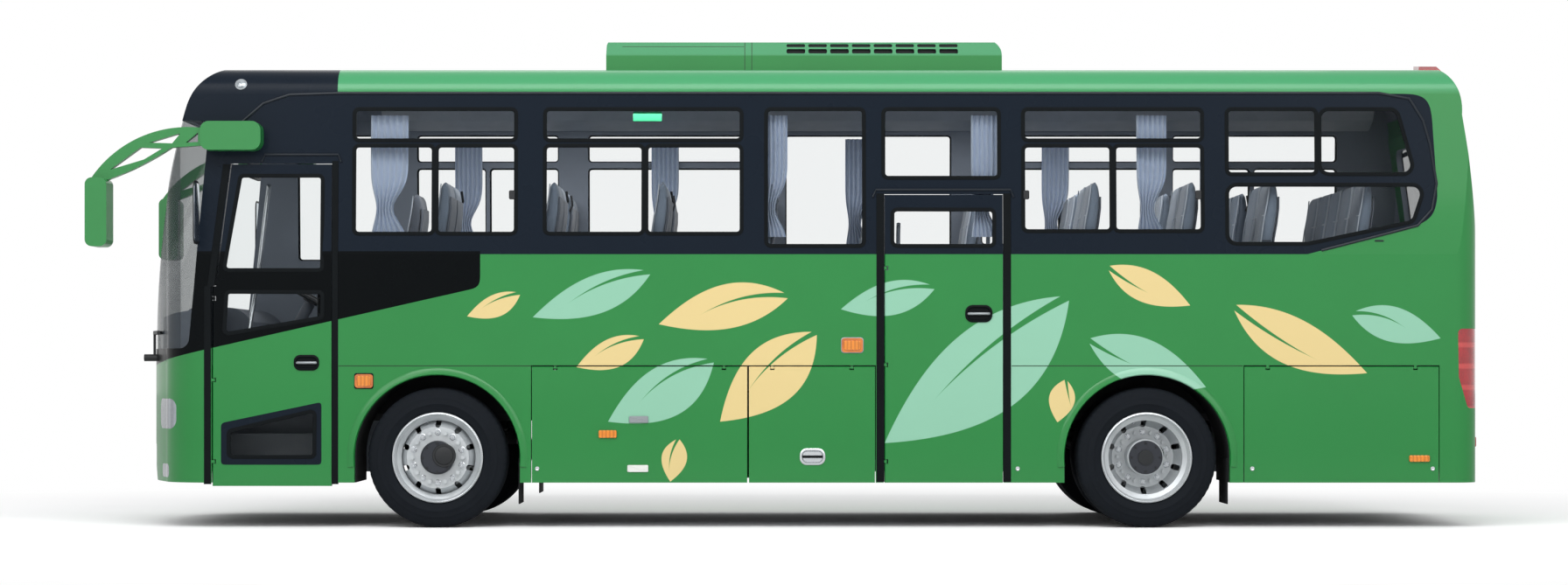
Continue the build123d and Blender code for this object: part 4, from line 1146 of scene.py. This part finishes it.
# Seats: each place has a padded cushion and back, inflated as cloth once and then copied along the rows
seats = {
    "cushionZ": 1.42,
    "backTop": 2.33,
    "floorZ": 1.092,
    "swell": 0.010,
    "cap": 0.012,
    "voxel": 0.018,
    "pressure": 4,
    "moments": 20,
    "leftRows": (-2.600, -1.876, -1.152, -0.428, 1.720, 2.366, 2.906),
    "rightRows": (-1.876, -1.152, -0.428, 0.296, 1.020, 1.744, 2.366, 2.906),
    "pairY": 0.69,
    "pairShift": 0.226,
    "placeHalf": 0.222,
    "driver": (-2.95, 0.62, 0.25),
    "benchX": 3.54,
    "benchStep": 0.446,
}
cushionSide = ((-0.222, 0.012), (-0.240, 0.075), (-0.228, 0.108), (-0.195, 0.120), (-0.05, 0.112),
               (0.142, 0.095), (0.142, 0.012))
backSide = ((0.166, 0.02), (0.184, 0.13), (0.196, 0.25), (0.207, 0.36), (0.228, 0.50), (0.248, 0.64),
            (0.264, 0.72), (0.276, 0.80), (0.282, 0.865), (0.300, 0.897), (0.322, 0.870), (0.333, 0.78),
            (0.332, 0.70), (0.320, 0.60), (0.302, 0.50), (0.284, 0.34), (0.254, 0.02))


def evaluated(piece):
    # a mesh of the piece as its modifiers leave it
    return bpy.data.meshes.new_from_object(piece.evaluated_get(bpy.context.evaluated_depsgraph_get()))


def stuffed(name, side, half):
    # a slightly smaller shape, inflated as cloth, with its swelling capped
    lump = Sketch()
    width = half - seats["swell"]
    corner = 0.03
    rounded = ((width, 0.80), (width - corner * 0.4, 0.93), (width - corner, 1.0), (width / 3, 1.0))
    ends = [(-y, share) for y, share in rounded] + list(reversed(rounded))
    middle = Vector((sum(x for x, _ in side) / len(side), sum(z for _, z in side) / len(side)))
    stations = []
    for y, share in ends:
        thin = 1 - (1 - share) * 0.35
        stations.append([(middle.x + (x - middle.x) * share, y,
                          seats["cushionZ"] + middle.y + (z - middle.y) * thin) for x, z in side])
    lump.rings(stations)
    bmesh.ops.recalc_face_normals(lump.shape, faces=lump.shape.faces)
    start = bpy.data.meshes.new(name)
    lump.shape.to_mesh(start)
    lump.shape.free()
    piece = placed(name, start)
    remesh = piece.modifiers.new("even", "REMESH")
    remesh.mode = "VOXEL"
    remesh.voxel_size = seats["voxel"]
    even = evaluated(piece)
    piece.modifiers.clear()
    piece.data = even
    cloth = piece.modifiers.new("fill", "CLOTH")
    cloth.settings.use_pressure = True
    cloth.settings.uniform_pressure_force = seats["pressure"]
    cloth.settings.effector_weights.gravity = 0
    cloth.point_cache.frame_start, cloth.point_cache.frame_end = 1, seats["moments"]
    for moment in range(1, seats["moments"] + 1):
        bpy.context.scene.frame_set(moment)
    swollen = evaluated(piece)
    for before, after in zip(even.vertices, swollen.vertices):
        move = after.co - before.co
        if move.length > seats["cap"]:
            move *= seats["cap"] / move.length
        after.co = before.co + move
    bpy.context.scene.frame_set(1)
    piece.modifiers.clear()
    even = swollen
    for polygon in even.polygons:
        polygon.use_smooth = True
    bpy.data.objects.remove(piece)
    return even


def spread(name, mesh, spots, finish):
    # one mesh stamped at every place, as one piece on the coach
    sketch = Sketch()
    sketch.stamp(mesh, [Matrix.Translation(spot) for spot in spots])
    piece = sketch.leave(name, finish)
    return piece


places = []
for rows, side in ((seats["leftRows"], -1), (seats["rightRows"], 1)):
    for x in rows:
        places += [(x, side * y, 0) for y in around(seats["pairY"], seats["pairShift"])]
places += [(seats["benchX"], (index - 2) * seats["benchStep"], 0) for index in range(5)]
half = seats["placeHalf"]
cushions = spread("passenger_cushions", stuffed("cushion_shape", cushionSide, half), places, "seat")
spread("passenger_backs", stuffed("back_shape", backSide, half), places, "seat")
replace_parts(cushions, "passenger_seats")
driverX, driverY, half = seats["driver"]
spots = [(driverX, driverY, 0)]
cushion = stuffed("driver_cushion_shape", cushionSide, half)
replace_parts(spread("driver_cushion", cushion, spots, "driver"), "driver_chair")
spread("driver_back", stuffed("driver_back_shape", backSide, half), spots, "driver")
print("seats: padded")

# Piping and flutes on the backs, shells behind them, legs, pans, and grips at the aisle
seatTrim = {
    "lead": 0.004,
    "pipingInset": 0.020,
    "pipingRadius": 0.0045,
    "fluteShare": 0.45,
    "fluteRadius": 0.0035,
    "seam": (0.244, 0.655, 0.03),
    "shell": ((0, 0.022), (0.010, 0.030)),
    "legs": ((-0.13, -0.07), (0.10, 0.16)),
    "legInset": 0.10,
    "legTop": 0.012,
    "pan": ((-0.20, 0.26), 0.03, (-0.03, 0.014)),
    "aisleShare": 0.94,
    "aisleReach": 0.6,
    "armrest": ((0.20, 0.22), (-0.02, 0.215), (-0.06, 0.20)),
    "armrestRadius": 0.018,
    "handle": ((0.325, -0.16), (0.345, -0.12), (0.335, -0.05)),
    "handleRadius": 0.009,
}
lead = seatTrim["lead"]
frontLine = [(x - lead, z) for x, z in backSide[1:9]]
fluteLine = [(x - lead, z) for x, z in frontLine[1:6]]
rearLine = [(x + lead, z) for x, z in reversed(backSide[11:])]
piping, shells, frames, grips = Sketch(), Sketch(), Sketch(), Sketch()


def trimSeat(placeX, placeY, half):
    def at(x, y, z, level=seats["cushionZ"]):
        # a spot of this place, from its middle and the foot of its cushion
        return (placeX + x, placeY + y, level + z)

    for edge in (-1, 1):
        y = edge * (half - seatTrim["pipingInset"])
        piping.tube([at(x, y, z) for x, z in frontLine], seatTrim["pipingRadius"], 6)
        y = edge * half * seatTrim["fluteShare"]
        piping.tube([at(x, y, z) for x, z in fluteLine], seatTrim["fluteRadius"], 6)
    x, z, inset = seatTrim["seam"]
    line = [at(x, y, z) for y in evenSteps(inset - half, half - inset, 4)]
    piping.tube(line, seatTrim["pipingRadius"], 6)
    section = [(out, inset - half) for out, inset in seatTrim["shell"]]
    section += [(out, half - inset) for out, inset in reversed(seatTrim["shell"])]
    shells.rings([[at(x + out, y, z) for out, y in section] for x, z in rearLine])
    width = half - seatTrim["legInset"]
    for front, rear in seatTrim["legs"]:
        shells.block(at(front, -width, 0, seats["floorZ"]), at(rear, width, seatTrim["legTop"]))
    (front, rear), inset, (low, high) = seatTrim["pan"]
    frames.block(at(front, inset - half, low), at(rear, half - inset, high))
    if placeX < seats["benchX"] and abs(placeY) < seatTrim["aisleReach"]:
        y = (-half if placeY > 0 else half) * seatTrim["aisleShare"]
        armrest = [at(x, y, z) for x, z in seatTrim["armrest"]]
        grips.tube(armrest, seatTrim["armrestRadius"], 10, flat=0.7)
        y = (placeY + y) * 1.05 - placeY
        handle = [at(x, y, z, seats["backTop"]) for x, z in seatTrim["handle"]]
        grips.tube(handle, seatTrim["handleRadius"])


for placeX, placeY, _ in places:
    trimSeat(placeX, placeY, seats["placeHalf"])
trimSeat(*seats["driver"])
piping.leave("seat_piping", "piping")
shells.leave("seat_shells", "shell", soften=0.004)
frames.leave("seat_pans", "plastic", soften=0.004)
grips.leave("seat_grips", "plastic")
print("seats: shells and piping")

# Curtains hang in pleats by the pillars, drawn in by a tie
curtains = {
    "topZ": 2.74,
    "footZ": 1.93,
    "tieZ": 2.12,
    "tieReach": 0.13,
    "tiePull": 0.55,
    "tieShift": -0.03,
    "flat": 0.46,
    "pleats": 6,
    "inset": 0.085,
    "rows": 22,
    "near": ((-2.79, -2.54), (-0.20, -0.02), (1.20, 1.40), (2.30, 2.50)),
    "far": ((-2.44, -2.24), (-1.00, -0.80), (0.42, 0.62), (1.86, 2.06), (3.02, 3.22)),
}


def pleated(front, rear, flat):
    # a wave between two ends whose length along the cloth is the flat width
    count = curtains["pleats"] * 8

    def wave(depth):
        turn = 2 * math.pi * curtains["pleats"] / count
        xs = evenSteps(front, rear, count)
        return [(x, depth * math.sin(turn * index)) for index, x in enumerate(xs)]

    low, high = 0.0, 0.1
    for _ in range(30):
        depth = (low + high) / 2
        points = wave(depth)
        length = sum(math.dist(first, second) for first, second in zip(points, points[1:]))
        low, high = (depth, high) if length < flat else (low, depth)
    return wave(low)


def curtain(name, side, front, rear):
    cloth = Sketch()
    drawn = []
    for z in evenSteps(curtains["topZ"], curtains["footZ"], curtains["rows"]):
        pull = math.exp(-((z - curtains["tieZ"]) / curtains["tieReach"]) ** 2)
        half = (rear - front) / 2 * (1 - curtains["tiePull"] * pull)
        middle = (front + rear) / 2 + curtains["tieShift"] * pull
        folds = pleated(middle - half, middle + half, curtains["flat"])
        plane = flankY(z) - curtains["inset"]
        drawn.append(cloth.ring([(x, side * (plane + depth), z) for x, depth in folds]))
    for first, second in zip(drawn, drawn[1:]):
        cloth.skin(first, second, False)
    piece = cloth.leave(name, "curtain")


for sideName, side in (("near", -1), ("far", 1)):
    for number, (front, rear) in enumerate(curtains[sideName]):
        curtain(f"curtain_{sideName}_{number}", side, front, rear)
print("curtains: done")

# Cab: a blank route sign, grab rails inside both doors, and an inner mirror over the windscreen
cab = {
    "sign": ((-1.09, -0.005, 2.785), (-0.89, 0.005, 2.855)),
    "railRadius": 0.014,
    "railPaths": [
        ((-3.68, -1.02, 1.00), (-3.66, -0.96, 1.08), (-3.56, -0.96, 1.70), (-3.50, -0.97, 2.20),
         (-3.48, -1.03, 2.28)),
        ((-3.10, -1.06, 1.12), (-3.12, -1.00, 1.18), (-3.12, -1.00, 1.95), (-3.10, -1.06, 2.02)),
    ],
    "midRailX": (0.72, 1.32),
    "midRail": ((-1.08, 1.16), (-1.02, 1.22), (-1.02, 1.95), (-1.08, 2.02)),
    "mirrorArm": ((-3.70, 0.0, 2.62), (-3.72, 0.0, 2.54), (-3.74, 0.0, 2.48)),
    "mirrorHead": ((-3.752, -0.22, 2.38), (-3.728, 0.22, 2.50)),
}
sign = Sketch()
sign.block(*cab["sign"])
sign.leave("route_sign", "sign", soften=0.004)
rails = Sketch()
for path in cab["railPaths"] + [[(x, y, z) for y, z in cab["midRail"]] for x in cab["midRailX"]]:
    rails.tube(path, cab["railRadius"], 12)
rails.leave("grab_rails", "chrome")
inner = Sketch()
inner.tube(cab["mirrorArm"], 0.010)
inner.block(*cab["mirrorHead"])
inner.leave("inner_mirror", "plastic", soften=0.008)
print("cab: done")


# Camera: level, square to the left side, where the photograph was taken from
camera = {
    "distance": 21.5,
    "sidePlane": -1.225,
    "height": 1.035,
    "middleX": -0.1766,
    "lens": 74.63,
    "shift": (0.01283, 0.0505),
}
eye = placed("eye", bpy.data.cameras.new("eye"))
eye.location = (camera["middleX"], camera["sidePlane"] - camera["distance"], camera["height"])
eye.rotation_euler = (math.pi / 2, 0, 0)
eye.data.lens = camera["lens"]
eye.data.sensor_width = 36
eye.data.shift_x, eye.data.shift_y = camera["shift"]
eye.data.clip_end = 400
bpy.context.scene.camera = eye

# Studio: white floor and sky, one broad lamp above, soft ones at the sides and a row of them inside
studio = {
    "skyLight": 0.6,
    "lamps": (
        ((0, -9, 10), (14, 4), 900, (0, 0, 0)),
        ((-9, -13, 8), (9, 6), 420, (0, 0, 1.4)),
        ((9, -13, 7), (8, 6), 300, (0, 0, 1.4)),
        ((0, 10, 12), (12, 5), 200, (0, 0, 1.4)),
        ((-1.6, 0, 2.84), (2.4, 0.5), 30, (-1.6, 0, 0)),
        ((1.6, 0, 2.84), (2.4, 0.5), 30, (1.6, 0, 0)),
    ),
    "floorSize": 120,
    "matte": (0.86, 0.86, 0.87),
    "shine": 0.3,
    "fadeFrom": 4.4,
    "fadeOver": 2.8,
    "fadeStretch": 0.55,
}


def studioSky():
    # white to the camera, in reflections and through glass, and a softer light for everything else
    paint = Paint("sky", "World")
    camera, glossy, through = [paint.add("LightPath", out=f"Is {ray} Ray")
                               for ray in ("Camera", "Glossy", "Transmission")]
    soft, white = [paint.add("Background", None, {0: (1, 1, 1), 1: strength})
                   for strength in (studio["skyLight"], 1.0)]
    bpy.context.scene.world = paint.finish(paint.mix(camera.either(glossy).either(through), soft, white))


def studioFloor():
    mesh = bpy.data.meshes.new("studio_floor")
    shape = bmesh.new()
    bmesh.ops.create_grid(shape, x_segments=4, y_segments=4, size=studio["floorSize"])
    shape.to_mesh(mesh)
    shape.free()
    ground = placed("studio_floor", mesh)
    # to the camera the floor is as bright as white paper, and further off it is the white of the sky
    paint = Paint("studio_white")
    x, y, _ = paint.place()
    matte = paint.add("BsdfDiffuse", None, {0: studio["matte"]})
    more = paint.add("BsdfDiffuse", None, {0: (studio["shine"],) * 3})
    bright = paint.add("AddShader", None, {0: matte, 1: more})
    glow = paint.add("Emission", None, {0: (1, 1, 1), 1: 1.0})
    away = (x * x * studio["fadeStretch"] + y * y).calc("SQRT") - studio["fadeFrom"]
    faded = paint.mix((away / studio["fadeOver"] - 0.5).edge(1.0), bright, glow)
    seen = paint.add("LightPath")
    ground.data.materials.append(paint.finish(paint.mix(seen, matte, faded)))


studioSky()
studioFloor()
for place, size, power, aim in studio["lamps"]:
    lamp = bpy.data.lights.new("softbox", "AREA")
    lamp.shape = "RECTANGLE"
    lamp.size, lamp.size_y = size
    lamp.energy = power
    holder = placed("softbox", lamp)
    holder.location = place
    holder.rotation_euler = (Vector(aim) - Vector(place)).to_track_quat("-Z", "Y").to_euler()
bpy.context.scene.view_settings.view_transform = "Standard"
print("studio: done")
